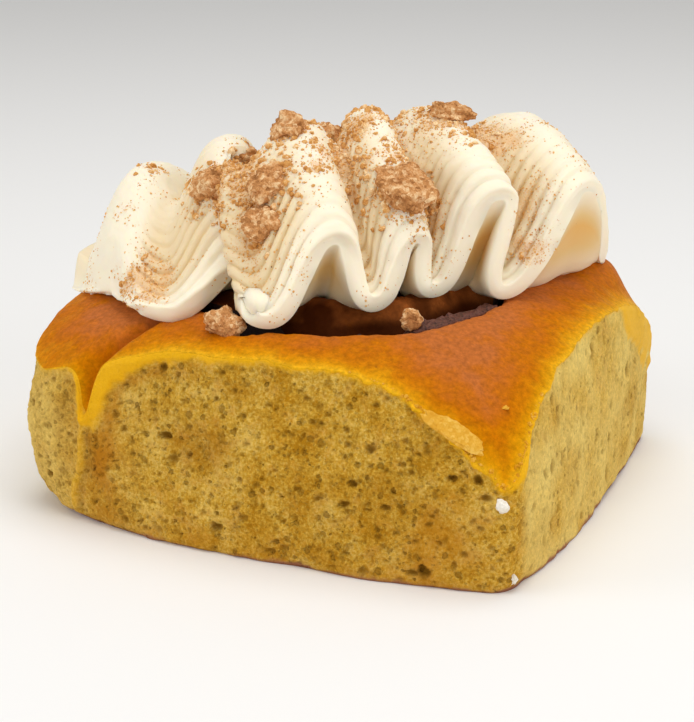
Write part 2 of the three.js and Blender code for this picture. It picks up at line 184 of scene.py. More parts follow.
def distance_to_curve(points: np.ndarray, curve: np.ndarray) -> np.ndarray:
    """Give each point's distance to the nearest point of a curve, block after block to spare memory."""
    found, block_size = np.empty(len(points)), 4000
    for start in range(0, len(points), block_size):
        block = points[start : start + block_size]
        squared = (block**2).sum(1)[:, None] + (curve**2).sum(1)[None, :] - 2 * block @ curve.T
        found[start : start + block_size] = np.sqrt(np.maximum(squared.min(1), 0))
    return found


def turn_matrix(angle: float) -> np.ndarray:
    """Give the turn about +Z by an angle in radians."""
    return np.array([[np.cos(angle), -np.sin(angle), 0], [np.sin(angle), np.cos(angle), 0], [0, 0, 1]])


# ---------------------------------------------------------------- meshes


def ring_quads(rows: int, columns: int, start: int = 0) -> np.ndarray:
    """Number the quads between closed rings of points, ring after ring."""
    row, column = np.meshgrid(np.arange(rows - 1), np.arange(columns), indexing="ij")
    a = start + row * columns + column
    b = start + row * columns + (column + 1) % columns
    return np.stack([a, b, b + columns, a + columns], -1).reshape(-1, 4)


def grid_quads(rows: int, columns: int, start: int = 0) -> np.ndarray:
    """Number the quads of an open grid of points, row after row."""
    row, column = np.meshgrid(np.arange(rows - 1), np.arange(columns - 1), indexing="ij")
    a = start + row * columns + column
    return np.stack([a, a + 1, a + columns + 1, a + columns], -1).reshape(-1, 4)


def zip_triangles(left: np.ndarray, right: np.ndarray) -> np.ndarray:
    """Join two rows of points that share their ends, whatever their counts.

    Args:
        left: Point numbers of one row.
        right: Point numbers of the other, running the same way, with the same first and last point.

    Returns:
        Triangles that fill the gap between them.
    """
    triangles, i, j = [], 0, 0
    while i < len(left) - 1 or j < len(right) - 1:
        take_left = (i + 1) / len(left) <= (j + 1) / len(right) if j < len(right) - 1 else True
        if take_left and i < len(left) - 1:
            triangles.append((left[i], left[i + 1], right[j]))
            i += 1
        else:
            triangles.append((left[i], right[j + 1], right[j]))
            j += 1
    return np.array([t for t in triangles if len(set(t)) == 3])


@dataclass
class Solid:
    """A closed mesh in the making: points in millimetres, faces, and values at its points."""

    points: np.ndarray
    faces: list[np.ndarray]
    values: dict[str, np.ndarray] = field(default_factory=dict)

    def volume(self) -> float:
        """Give the signed volume, which is negative where the faces point in."""
        total = 0.0
        for block in self.faces:
            for i in range(1, block.shape[1] - 1):
                a, b, c = (self.points[block[:, k]] for k in (0, i, i + 1))
                total += float(np.einsum("ij,ij->i", a, np.cross(b, c)).sum())
        return total / 6

    def joined(self, other: "Solid") -> "Solid":
        """Put another solid's points and faces after these."""
        shift = len(self.points)
        values = {name: np.concatenate([v, other.values[name]]) for name, v in self.values.items()}
        faces = self.faces + [block + shift for block in other.faces]
        return Solid(np.vstack([self.points, other.points]), faces, values)

    def outward(self) -> "Solid":
        """Turn every face over if the solid is inside out."""
        if self.volume() < 0:
            self.faces = [block[:, ::-1] for block in self.faces]
        return self

    def to_object(self, name: str, finish: bpy.types.Material, shade_smooth: bool = True) -> bpy.types.Object:
        """Make the Blender object, at the origin, with its place in its mesh.

        Args:
            name: The piece's name.
            finish: Its material.
            shade_smooth: Whether the faces are shaded as one smooth surface.

        Returns:
            The new object.
        """
        mesh = bpy.data.meshes.new(name)
        mesh.vertices.add(len(self.points))
        mesh.vertices.foreach_set("co", (self.points * MM).astype(np.float32).ravel())
        counts = np.concatenate([np.full(len(block), block.shape[1]) for block in self.faces])
        corners = np.concatenate([block.ravel() for block in self.faces])
        mesh.loops.add(len(corners))
        mesh.loops.foreach_set("vertex_index", corners.astype(np.int32))
        mesh.polygons.add(len(counts))
        mesh.polygons.foreach_set("loop_start", (np.cumsum(counts) - counts).astype(np.int32))
        mesh.update(calc_edges=True)
        mesh.validate()
        for title, numbers in self.values.items():
            layer = mesh.attributes.new(title, "FLOAT", "POINT")
            layer.data.foreach_set("value", numbers.astype(np.float32).ravel())
        mesh.polygons.foreach_set("use_smooth", np.full(len(mesh.polygons), shade_smooth))
        mesh.materials.append(finish)
        made = bpy.data.objects.new(name, mesh)
        bpy.context.scene.collection.objects.link(made)
        return made


def attach(piece: bpy.types.Object, slot: Slot, *nodes: str) -> bpy.types.Object:
    """Let a finished piece ride on the roll, log its slot and stand for its CAD nodes.

    Args:
        piece: The finished object.
        slot: The material slot it belongs to, which is only logged.
        nodes: The CAD nodes it replaces.

    Returns:
        The same object.
    """
    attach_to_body(piece, BODY)
    if nodes:
        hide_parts(*nodes)
    LOG.info("%s: %d faces, slot %s", piece.name, len(piece.data.polygons), slot.value)
    return piece


# ---------------------------------------------------------------- finishes


PLACE, STORED, RAMP = "ShaderNodeTexCoord", "ShaderNodeAttribute", "ShaderNodeValToRGB"
NOISE, CELLS, RANGE = "ShaderNodeTexNoise", "ShaderNodeTexVoronoi", "ShaderNodeMapRange"
MATH, VECTOR, RANDOM = "ShaderNodeMath", "ShaderNodeVectorMath", "FunctionNodeRandomValue"
MIX, TONE, BUMP = "ShaderNodeMix", "ShaderNodeHueSaturation", "ShaderNodeBump"
FACTOR, COLOR_A, COLOR_B, COLOR_OUT = 0, 6, 7, 2     # sockets of a colour mix
Socket = bpy.types.NodeSocket
Tree = bpy.types.NodeTree


def connect(tree: Tree, node: bpy.types.Node, links: dict) -> None:
    """Give a node's inputs their values or links."""
    for key, value in links.items():
        if isinstance(value, Socket):
            tree.links.new(value, node.inputs[key])
        else:
            node.inputs[key].default_value = value


def add_node(tree: Tree, kind: str, links: dict, out: int | str | None = 0, ramp: tuple = (),
             **settings) -> Socket | bpy.types.bpy_prop_collection:
    """Add a node with its settings, values and links.

    Args:
        tree: The node tree.
        kind: The node's type name.
        links: For each input, by name or number, a value or the socket that feeds it.
        out: Which of its outputs is wanted.
        ramp: Places and hex colours of a colour ramp.
        settings: Properties of the node.

    Returns:
        That output, or all its outputs where out is None.
    """
    made = tree.nodes.new(kind)
    for title, value in settings.items():
        setattr(made, title, value)
    for place, (position, color) in enumerate(ramp):
        elements = made.color_ramp.elements
        element = elements[place] if place < 2 else elements.new(position)
        element.position, element.color = position, linear(color)
    connect(tree, made, links)
    return made.outputs if out is None else made.outputs[out]


def start_material(name: str, *titles: str) -> tuple[bpy.types.Material, Tree, Socket, dict[str, Socket]]:
    """Begin a material.

    Args:
        name: What the real finish is.
        titles: Names of the values stored at the mesh's points that it reads.

    Returns:
        The material, its node tree, the Object coordinates, and the stored values by name.
    """
    material = bpy.data.materials.new(name)
    material.use_nodes = True
    tree = material.node_tree
    place = add_node(tree, PLACE, {}, "Object")
    stored = {title: add_node(tree, STORED, {}, "Fac", attribute_name=title) for title in titles}
    return material, tree, place, stored


def set_shader(tree: Tree, links: dict) -> None:
    """Give the Principled shader its constant values and its links."""
    connect(tree, tree.nodes["Principled BSDF"], links)


def lay_coats(tree: Tree, color: Socket, *coats: tuple[Socket, str]) -> Socket:
    """Lay hex colours over a colour, one after another, each by its own share."""
    for share, coat in coats:
        links = {FACTOR: share, COLOR_A: color, COLOR_B: linear(coat)}
        color = add_node(tree, MIX, links, COLOR_OUT, data_type="RGBA")
    return color


def weigh(tree: Tree, first: Socket, second: Socket, share: float) -> Socket:
    """Add two values, the second with a share and the first with the rest."""
    rest = add_node(tree, MATH, {0: first, 1: 1 - share}, operation="MULTIPLY")
    return add_node(tree, MATH, {0: second, 1: share, 2: rest}, operation="MULTIPLY_ADD")


@dataclass(frozen=True)
class Waves:
    """One scale of unevenness: its width in millimetres, its finer octaves and how strong they are."""

    width: float
    detail: float = 3.0
    rough: float = 0.55

    def at(self, place: Socket) -> dict:
        """Give the inputs of a noise node that draws it."""
        return {"Vector": place, "Scale": PER_MM / self.width, "Detail": self.detail, "Roughness": self.rough}


@dataclass(frozen=True)
class Holes:
    """Scattered round holes: their mean distance in millimetres, and their radii as shares of it."""

    cell: float
    smallest: float
    largest: float
    core: float = 0.45               # share of the radius within which a hole is at its darkest

    def draw(self, tree: Tree, place: Socket) -> Socket:
        """Give a value from 0 outside to 1 in the middle of a hole."""
        cells = add_node(tree, CELLS, {"Vector": place, "Scale": PER_MM / self.cell}, None)
        links = {"Value": cells["Color"], "To Min": self.smallest, "To Max": self.largest}
        radius = add_node(tree, RANGE, links)
        core = add_node(tree, MATH, {0: radius, 1: self.core}, operation="MULTIPLY")
        links = {"Value": cells["Distance"], "From Min": radius, "From Max": core}
        return add_node(tree, RANGE, links, interpolation_type="SMOOTHSTEP")


@dataclass(frozen=True)
class BakedCrust:
    """Egg-rich bread crust, browned in the oven and brushed while warm.

    The eye sees a satin skin, red-brown on the crown, golden where the next roll shaded it, yellow at the
    torn edge, with fine pebbling, uneven browning and a few darker pinholes.
    """

    ramp: tuple[tuple[float, str], ...] = (          # from the torn edge to full browning
        (0.0, "#DDA41A"), (0.09, "#D08C06"), (0.22, "#C37503"), (0.38, "#BB6803"), (0.62, "#B96418"),
        (1.0, "#B7662E"),
    )
    ramp_length: float = 16.0                        # mm
    # darkening of the seam: syrup colour with painted shade in the groove
    syrup_and_shade_color: str = "#2E0C03"
    pinhole_color: str = "#7A3A12"
    shine_color: str = "#FFB566"
    roughness: tuple[float, float] = (0.38, 0.64)    # where it is glossiest and dullest
    pebble: Waves = Waves(1.0, 4.0, 0.7)
    mottle: Waves = Waves(4.5, 5.0, 0.6)
    patch: Waves = Waves(14.0, 2.0)
    pinholes: Holes = Holes(2.6, 0.03, 0.13)

    def material(self) -> bpy.types.Material:
        """Build the node material."""
        material, tree, place, stored = start_material("baked_bread_crust", "edge", "seam")
        mottle = add_node(tree, NOISE, self.mottle.at(place))
        patch = add_node(tree, NOISE, self.patch.at(place))
        uneven = weigh(tree, mottle, patch, 0.45)
        shift = add_node(tree, RANGE, {"Value": uneven, "From Min": 0.3, "From Max": 0.7,
                                       "To Min": -0.7, "To Max": 0.75})
        inward = add_node(tree, MATH, {0: stored["edge"], 1: 1 / self.ramp_length}, operation="MULTIPLY")
        browning = add_node(tree, MATH, {0: shift, 1: inward, 2: inward}, operation="MULTIPLY_ADD")
        browned = add_node(tree, RAMP, {"Fac": browning}, ramp=self.ramp)
        fine = add_node(tree, NOISE, self.pebble.at(place))
        grain = add_node(tree, RANGE, {"Value": fine, "From Min": 0.25, "From Max": 0.75,
                                       "To Min": 0.66, "To Max": 1.32})
        toned = add_node(tree, TONE, {"Color": browned, "Value": grain})
        faint = add_node(tree, MATH, {0: self.pinholes.draw(tree, place), 1: 0.5}, operation="MULTIPLY")
        # the seam value lays syrup colour and painted shade over the groove and the inner coil
        stained = lay_coats(tree, toned, (faint, self.pinhole_color), (stored["seam"], self.syrup_and_shade_color))
        shine = add_node(tree, RANGE, {"Value": mottle, "To Min": self.roughness[0],
                                       "To Max": self.roughness[1]})
        bump = add_node(tree, BUMP, {"Strength": 0.4, "Distance": 0.2 * MM, "Height": fine})
        set_shader(tree, {"Base Color": stained, "Roughness": shine, "Normal": bump,
                          "Specular IOR Level": 0.06, "Specular Tint": linear(self.shine_color)})
        return material


@dataclass(frozen=True)
class TornCrumb:
    """The inside of enriched bread where two rolls were pulled apart.

    The eye sees a soft, dry, mustard-yellow sponge of holes and torn fibres, with a smoother golden skin near
    the top, toasted patches and a thin brown sole. Painted shade browns the holes, dents and crease and the
    crumb below the skin band, and painted light makes the right and left sides paler.
    """

    light: str = "#EAC462"
    base: str = "#D2A236"
    dark: str = "#B67F12"
    # painted shade in the holes, dents and crease
    deep: str = "#7E560C"
    skin_color: str = "#F7B812"
    sole_color: str = "#A0684C"
    # used for random toasted patches, and as painted shade under the skin band, in dents and low on the front
    toast_and_shade_color: str = "#BE7A14"
    # painted light on the right and left sides
    painted_light_color: str = "#F0D176"
    roughness: float = 0.88
    fibre: Waves = Waves(0.6, 4.0, 0.7)
    patch: Waves = Waves(6.0, 4.0, 0.6)
    crumbs: Waves = Waves(0.9, 4.0, 0.75)
    warmth: Waves = Waves(3.0, 3.0)
    waver: Waves = Waves(0.9, 2.0)                   # how the holes' outlines wander
    waver_reach: float = 0.9                         # mm
    pores: Holes = Holes(2.5, 0.0, 0.42)
    tiny_pores: Holes = Holes(1.1, 0.0, 0.45)

    def open_pores(self, tree: Tree, place: Socket, stored: dict[str, Socket]) -> Socket:
        """Draw the small holes as painted shade, fewer where the tear is pale and calm, and none where it is
        skin.
        """
        drift = add_node(tree, NOISE, self.waver.at(place), "Color")
        waver = add_node(tree, VECTOR, {0: drift, "Scale": self.waver_reach * MM}, operation="SCALE")
        moved = add_node(tree, VECTOR, {0: place, 1: waver}, operation="ADD")
        tiny = add_node(tree, MATH, {0: self.tiny_pores.draw(tree, moved), 1: 0.5}, operation="MULTIPLY")
        pores = add_node(tree, MATH, {0: self.pores.draw(tree, moved), 1: tiny}, operation="MAXIMUM")
        torn = add_node(tree, MATH, {0: 1.0, 1: stored["skin"]}, operation="SUBTRACT")
        calm = add_node(tree, MATH, {0: stored["pale"], 1: -0.6, 2: 1.0}, operation="MULTIPLY_ADD")
        kept = add_node(tree, MATH, {0: torn, 1: calm}, operation="MULTIPLY")
        return add_node(tree, MATH, {0: pores, 1: kept}, operation="MULTIPLY")

    def material(self) -> bpy.types.Material:
        """Build the node material."""
        titles = "pore", "skin", "painted_shade_and_low_darkening", "pale", "sole"
        material, tree, place, stored = start_material("torn_bread_crumb", *titles)
        fibre = add_node(tree, NOISE, self.fibre.at(place))
        patch = add_node(tree, NOISE, self.patch.at(place))
        bread = add_node(tree, RAMP, {"Fac": weigh(tree, fibre, patch, 0.5)},
                         ramp=((0.4, self.dark), (0.5, self.base), (0.6, self.light)))
        crumbs = add_node(tree, NOISE, self.crumbs.at(place))
        speckle = add_node(tree, RANGE, {"Value": crumbs, "From Min": 0.3, "From Max": 0.7,
                                         "To Min": 0.8, "To Max": 1.16})
        warmth = add_node(tree, NOISE, self.warmth.at(place))
        warm = add_node(tree, RANGE, {"Value": warmth, "From Min": 0.5, "From Max": 0.75,
                                      "To Min": 0.0, "To Max": 0.6})
        # painted light: the sides turn paler where the stored pale value lies
        paled = lay_coats(tree, bread, (warm, self.toast_and_shade_color), (stored["pale"], self.painted_light_color))
        grained = add_node(tree, TONE, {"Color": paled, "Value": speckle})
        pores = self.open_pores(tree, place, stored)
        # painted shade: deep brown in the drawn holes and stored pores, and a darker brown under the skin
        # band, in dents and low on the front
        faint = add_node(tree, MATH, {0: pores, 1: 0.58}, operation="MULTIPLY")
        color = lay_coats(tree, grained, (stored["painted_shade_and_low_darkening"], self.toast_and_shade_color), (faint, self.deep),
                          (stored["pore"], self.deep), (stored["skin"], self.skin_color),
                          (stored["sole"], self.sole_color))
        height = add_node(tree, MATH, {0: pores, 1: -1.0, 2: fibre}, operation="MULTIPLY_ADD")
        bump = add_node(tree, BUMP, {"Strength": 1.0, "Distance": 0.5 * MM, "Height": height})
        set_shader(tree, {"Base Color": color, "Roughness": self.roughness, "Normal": bump,
                          "Specular IOR Level": 0.12})
        return material


@dataclass(frozen=True)
class CinnamonFilling:
    """Cinnamon sugar melted in butter, sticky and granular.

    The eye sees near-black brown syrup with lighter purple-brown sugar grains and small wet glints.
    """

    dark: str = "#230C05"
    grains: str = "#6A3E30"
    roughness: float = 0.55
    grain: Waves = Waves(0.55, 4.0, 0.7)

    def material(self) -> bpy.types.Material:
        """Build the node material."""
        material, tree, place, stored = start_material("cinnamon_sugar_filling", "grains")
        grain = add_node(tree, NOISE, self.grain.at(place))
        mixed = add_node(tree, MATH, {0: grain, 1: stored["grains"]}, operation="MULTIPLY")
        tone = add_node(tree, RAMP, {"Fac": mixed}, ramp=((0.42, self.dark), (0.68, self.grains)))
        bump = add_node(tree, BUMP, {"Strength": 1.0, "Distance": 0.25 * MM, "Height": grain})
        set_shader(tree, {"Base Color": tone, "Roughness": self.roughness, "Normal": bump,
                          "Specular IOR Level": 0.3})
        return material


@dataclass(frozen=True)
class WhippedFrosting:
    """Whipped cream-cheese frosting pushed through a toothed nozzle.

    The eye sees a dense, satin, warm cream that light enters a little, and cinnamon dust stains it where
    crumble lay. Painted shade makes it tan in the ridges' creases and golden deep in its folds and caves.
    """

    cream: str = "#F6EBD2"
    # fold, hollow and cave colours are painted shade: tan in the creases, golden deep in folds and caves
    fold: str = "#E9D6B2"
    hollow: str = "#E0BE80"
    cave: str = "#DFA244"
    dust: str = "#E3A65C"
    speck: str = "#8A6236"
    roughness: float = 0.55
    powder: Waves = Waves(0.55, 4.0, 0.75)
    air: Waves = Waves(1.4, 4.0, 0.6)                # small unevenness left by air in the cream
    specks: Holes = Holes(2.2, 0.0, 0.085)
    light_reach: float = 1.6                         # mm that light travels inside

    def material(self) -> bpy.types.Material:
        """Build the node material."""
        material, tree, place, stored = start_material("whipped_cream_frosting", "cave", "dust")
        # painted shade: the stored cave value turns the cream tan in the creases and golden in the caves
        cream_with_painted_shade = add_node(tree, RAMP, {"Fac": stored["cave"]}, ramp=(
            (0.0, self.cream), (0.35, self.fold), (0.65, self.hollow), (1.0, self.cave)))
        powder = add_node(tree, NOISE, self.powder.at(place))
        dusty = add_node(tree, MATH, {0: stored["dust"], 1: powder}, operation="ADD")
        shown = add_node(tree, RANGE, {"Value": dusty, "From Min": 0.78, "From Max": 1.15,
                                       "To Min": 0.0, "To Max": 0.5})
        faint = add_node(tree, MATH, {0: self.specks.draw(tree, place), 1: 0.6}, operation="MULTIPLY")
        color = lay_coats(tree, cream_with_painted_shade, (shown, self.dust), (faint, self.speck))
        air = add_node(tree, NOISE, self.air.at(place))
        bump = add_node(tree, BUMP, {"Strength": 0.3, "Distance": 0.15 * MM, "Height": air})
        set_shader(tree, {"Base Color": color, "Normal": bump, "Roughness": self.roughness,
                          "Specular IOR Level": 0.25, "Subsurface Weight": 0.3,
                          "Subsurface Scale": self.light_reach * MM, "Subsurface Radius": (1.0, 0.7, 0.35)})
        return material


@dataclass(frozen=True)
class ButterCrumble:
    """Baked brown-sugar crumble: butter, flour and cinnamon sugar in dry clumps.

    The eye sees a matt, sandy biscuit brown made of small grains, each a little lighter or darker.
    """

    name: str = "butter_crumble"
    dark: str = "#8C5A30"
    base: str = "#CC9058"
    light: str = "#F0CE9E"
    roughness: float = 0.92
    grain: float = 0.75              # mm; the real grains are nearer 0.5 and are drawn coarser to show
    fine: Waves = Waves(0.35, 3.0, 0.7)
    clump: Waves = Waves(3.0, 2.0)

    def material(self) -> bpy.types.Material:
        """Build the node material."""
        material, tree, place, _ = start_material(self.name)
        cells = add_node(tree, CELLS, {"Vector": place, "Scale": PER_MM / self.grain}, "Color")
        own = add_node(tree, RANGE, {"Value": cells, "To Min": 0.3, "To Max": 0.7})
        fine = add_node(tree, NOISE, self.fine.at(place))
        clump = add_node(tree, NOISE, self.clump.at(place))
        mixed = weigh(tree, weigh(tree, own, fine, 0.35), clump, 0.35)
        tone = add_node(tree, RAMP, {"Fac": mixed},
                        ramp=((0.38, self.dark), (0.5, self.base), (0.6, self.light)))
        bump = add_node(tree, BUMP, {"Strength": 0.7, "Distance": 0.25 * MM, "Height": fine})
        set_shader(tree, {"Base Color": tone, "Roughness": self.roughness, "Normal": bump,
                          "Specular IOR Level": 0.1})
        return material


# ---------------------------------------------------------------- the bun's form


@dataclass(frozen=True)
class Swell:
    """A stretch of the crown's rim that stands wider or narrower."""

    angle: float
    spread: float
    amount: float


@dataclass(frozen=True)
class TornSide:
    """One torn side: the way it faces, its distance from the middle and how far it bows out."""

    facing: float
    distance: float
    bow: float


@dataclass
class BunForm:
    """The bun's own surface: a round baked crown, cut square by torn sides."""

    height: float = 46.5
    radius: float = 69.2
    rim_power: float = 2.9
    flat_power: float = 2.4
    swells: tuple[Swell, ...] = (
        Swell(196, 34, 17), Swell(88, 26, 3), Swell(262, 22, 2), Swell(12, 20, 3.5), Swell(231.75, 1.8, -8.3),
    )
    sides: tuple[TornSide, ...] = (
        TornSide(-91, 53, 3.8), TornSide(1, 50.9, 2.5), TornSide(90, 49.5, 3), TornSide(178, 57.2, 0.6),
        TornSide(222, 70.3, 0.8),
    )
    half_length: float = 47.0
    corner_sharpness: float = 30.0
    heel: tuple[float, float, float, float] = (214, 16, 9, 5.5)      # angle, spread, height, inset
    base_edge: tuple[float, float] = (3, 0.5)                        # height, inset
    belly: tuple[float, float, float, float, float] = (200, 22, 2.4, 19, 8)
    left_shoulder: tuple[float, float, float, float] = (190, 30, 1.2, 34)
    front_swell: tuple[float, float, float] = (290, 12, 0.8)
    taper: tuple[float, float, float] = (1.3, 12, 30)
    leans: tuple[Swell, ...] = (                                     # how far the top of a side leans in
        Swell(244, 10, 3.1), Swell(265, 16, 2.1), Swell(292, 16, 4.7), Swell(308, 7, 0.5),
        Swell(318, 7, 1.7), Swell(332, 12, 1.7), Swell(352, 14, 1.1),
    )
    lean_levels: tuple[float, float] = (8, 38)                       # heights where it starts and is full
    rise: float = 6.0                                                # mm it swells behind the frosting
    rise_x: tuple[float, float, float, float] = (41, 18, 50.5, 9)    # middle, spread, end and fade
    rise_y: tuple[float, float, float, float] = (34, 16, 49, 8)
    rise_level: tuple[float, float] = (31, 6)                        # crown height it starts at, and fade

    def crown_radius(self, angle: np.ndarray) -> np.ndarray:
        """Give the radius of the whole crown at its rim."""
        return self.radius + sum(s.amount * bell(angle, s.angle, s.spread) for s in self.swells)

    def crown_height(self, angle: np.ndarray, radius: np.ndarray) -> np.ndarray:
        """Give the height of the plain round crown over a place in plan."""
        share = np.clip(1 - (radius / self.crown_radius(angle)) ** self.flat_power, 0, 1)
        return self.height * share ** (1 / self.rim_power)

    def crust_height(self, angle: np.ndarray, radius: np.ndarray) -> np.ndarray:
        """Give the height of the crust over a place in plan, with its swelling."""
        crown = self.crown_height(angle, radius)
        grown = self.rise * smooth((crown - self.rise_level[0]) / self.rise_level[1])
        turn = np.radians(angle)
        x, y = radius * np.cos(turn), radius * np.sin(turn)
        for place, (middle, spread, end, fade) in ((x, self.rise_x), (y, self.rise_y)):
            grown = grown * np.exp(-(((place - middle) / spread) ** 2)) * smooth((end - place) / fade)
        return crown + grown

    def crust_reach(self, angle: np.ndarray, height: np.ndarray) -> np.ndarray:
        """Give the plan radius of the crown at a height."""
        share = np.clip(1 - (height / self.height) ** self.rim_power, 0, 1)
        return self.crown_radius(angle) * share ** (1 / self.flat_power)

    def tear_radius(self, angle: np.ndarray) -> np.ndarray:
        """Give the plan radius of the torn square, each side an arc, with its corners a little round."""
        total = 0.0
        for side in self.sides:
            arc = (self.half_length**2 + side.bow**2) / (2 * side.bow)
            centre = side.distance - arc
            turn = np.radians(turn_between(angle, side.facing))
            reach = centre * np.cos(turn) + np.sqrt(np.maximum(arc**2 - (centre * np.sin(turn)) ** 2, 1))
            total = total + reach**-self.corner_sharpness
        return total ** (-1 / self.corner_sharpness)

    def side_reach(self, angle: np.ndarray, height: np.ndarray) -> np.ndarray:
        """Give the plan radius of the torn side at a height, with its heel, belly and taper."""
        heel_angle, heel_spread, heel_height, heel_inset = self.heel
        heel = bell(angle, heel_angle, heel_spread)
        edge_height, edge_inset = self.base_edge
        curl = np.clip(height / (edge_height + heel_height * heel), 0, 1)
        tuck = (edge_inset + heel_inset * heel) * (1 - np.sqrt(1 - (1 - curl) ** 2))
        belly_angle, belly_spread, belly_amount, level, depth = self.belly
        belly = belly_amount * bell(angle, belly_angle, belly_spread)
        belly = belly * np.exp(-(((height - level) / depth) ** 2))
        shoulder_angle, shoulder_spread, shoulder_amount, shoulder_level = self.left_shoulder
        shoulder = shoulder_amount * bell(angle, shoulder_angle, shoulder_spread)
        shoulder = shoulder * (height / shoulder_level) ** 2
        swell_angle, swell_spread, swell_amount = self.front_swell
        swell = swell_amount * bell(angle, swell_angle, swell_spread)
        taper_amount, taper_level, taper_depth = self.taper
        taper = taper_amount * ((height - taper_level) / taper_depth) ** 2
        start, full = self.lean_levels
        lean = sum(s.amount * bell(angle, s.angle, s.spread) for s in self.leans)
        lean = lean * smooth((height - start) / (full - start))
        return self.tear_radius(angle) - tuck + belly - shoulder - taper + swell - lean

    def tear_height(self, angle: np.ndarray) -> np.ndarray:
        """Find the height at which the crust meets the torn side."""
        low, high = np.zeros_like(angle), np.full_like(angle, self.height)
        for _ in range(26):
            middle = (low + high) / 2
            above = self.crust_reach(angle, middle) > self.side_reach(angle, middle)
            low, high = np.where(above, middle, low), np.where(above, high, middle)
        middle = (low + high) / 2
        ragged = self.raggedness(angle)
        return self.crown_height(angle, self.side_reach(angle, middle) + ragged)

    def raggedness(self, angle: np.ndarray) -> np.ndarray:
        """Give how far the torn edge wanders out or in."""
        ring = polar(angle, 52.0, 0.0)
        corner = 1 + 0.8 * bell(angle, -60, 14)
        wander = 0.5 * noise(ring, 6.0, 17) + 0.3 * noise(ring, 2.2, 18) + 0.15 * noise(ring, 1.0, 19)
        return corner * wander

    def edge_radius(self, angle: np.ndarray) -> np.ndarray:
        """Give the plan radius of the torn edge."""
        height = self.tear_height(angle)
        share = np.clip(1 - (height / self.height) ** self.rim_power, 0, 1)
        return self.crown_radius(angle) * share ** (1 / self.flat_power)

    def tear_curve(self, angle: np.ndarray) -> np.ndarray:
        """Give the points where crust and torn side meet."""
        return polar(angle, self.edge_radius(angle), self.tear_height(angle))

    def stations(self, count: int, front_weight: float = 1.0) -> np.ndarray:
        """Spread angles evenly along the torn edge.

        Args:
            count: How many angles.
            front_weight: How much closer they stand on the front and right sides than elsewhere.

        Returns:
            The angles in degrees.
        """
        angle = np.linspace(-180, 180, 7201)
        step = np.linalg.norm(np.diff(self.tear_curve(angle) * np.array([1, 1, 0.7]), axis=0), axis=-1)
        middle = (angle[:-1] + angle[1:]) / 2
        step = step * np.where((middle > -140) & (middle < 48), front_weight, 1.0)
        length = np.concatenate([[0], np.cumsum(step)])
        return np.interp(np.arange(count) / count * length[-1], length, angle)

    def crust_normal(self, angle: np.ndarray, radius: np.ndarray) -> np.ndarray:
        """Give the way the crown's surface faces."""
        step = 0.05
        here = polar(angle, radius, self.crust_height(angle, radius))
        out = polar(angle, radius + step, self.crust_height(angle, radius + step)) - here
        turned = angle + np.degrees(step / np.maximum(radius, 1.0))
        round_ = polar(turned, radius, self.crust_height(turned, radius)) - here
        return unit(np.cross(out, round_))


@dataclass
class Seam:
    """The spiral seam of the rolled dough, open as a groove in the crust."""

    form: BunForm
    start_angle: float = 60.0
    start_radius: float = 45.0
    turned: float = 1050.0
    pitch: float = 13.4
    depth: float = 8.0
    groove: float = 3.0
    squeeze: tuple[float, float, float] = (350, 36, 3.6)
    # Where it gapes: from and to in degrees turned, and how much wider it is outside and inside its line.
    gap: tuple[float, float, float, float] = (182, 292, 1.4, 7.6)
    # Where its outer side is torn away: degrees turned, spread and millimetres.
    pull: tuple[float, float, float] = (196, 9, 3.4)
    shoulder: float = 0.9
    fade: float = 30.0                                      # degrees over which the ends run out

    def radius_at(self, turned: np.ndarray) -> np.ndarray:
        """Give the seam's plan radius after so many degrees."""
        angle, spread, amount = self.squeeze
        pulled = amount * bell(self.start_angle + turned, angle, spread)
        return self.start_radius - self.pitch * turned / 360 - pulled

    def widths(self, turned: np.ndarray) -> tuple[np.ndarray, np.ndarray]:
        """Give how wide the groove is outside and inside the seam's line."""
        start, end, extra_out, extra_in = self.gap
        centre, spread, torn = self.pull
        opened = smooth((turned - start) / 15) * smooth((end - turned) / 12)
        torn_away = torn * np.exp(-(((turned - centre) / spread) ** 2))
        return self.groove / 2 + extra_out * opened + torn_away, self.groove / 2 + extra_in * opened

    def relief(self, angle: np.ndarray, radius: np.ndarray) -> tuple[np.ndarray, np.ndarray]:
        """Give how far the crust dips into the seam at a place, and how dark it is there: stained with syrup,
        and painted shade.

        Args:
            angle: Degrees round the roll.
            radius: Plan radius.

        Returns:
            Depth below the crown in millimetres, and the darkening from 0 to 1, partly syrup and partly
            painted shade.
        """
        first = (angle - self.start_angle) % 360
        place = polar(angle, radius, 0.0)
        waver = 0.35 * noise(place, 2.6, 81) + 0.15 * noise(place, 0.9, 82)
        dip = np.zeros(np.broadcast(angle, radius).shape)
        for turn in range(3):
            turned = first + 360 * turn
            wide_out, wide_in = self.widths(turned)
            off = radius - self.radius_at(turned) + waver
            away = np.where(off > 0, off / wide_out, -off / wide_in)
            ends = smooth(turned / self.fade) * smooth((self.turned - turned) / self.fade)
            hollow = self.depth * np.clip(1 - away ** np.where(off > 0, 3.0, 1.5), 0, 1)
            beyond = np.maximum(off - 0.9 * wide_out, -off - 0.9 * wide_in)
            rounding = self.shoulder * np.exp(-np.maximum(beyond, 0) / np.where(off > 0, 0.8, 1.6))
            dip = np.maximum(dip, ends * np.maximum(hollow, rounding))
        # Darkening, partly syrup and partly painted shade: deep in the groove, and over the inner coil under
        # the frosting, darkest on its left part.
        _, wide_in = self.widths(first)
        inside = self.radius_at(first) - radius
        dark = 0.62 + 0.3 * smooth((235 - first) / 14)
        dark = dark + 0.25 * noise(place, 3.0, 83) + 0.12 * noise(place, 1.1, 84)
        syrup_stain_and_shade = np.maximum(smooth(dip / self.depth * 2.6 - 0.25), dark * smooth((inside + 0.4 * wide_in) / 3))
        return dip, np.clip(syrup_stain_and_shade, 0, 1)


# ---------------------------------------------------------------- crumb, crust and filling


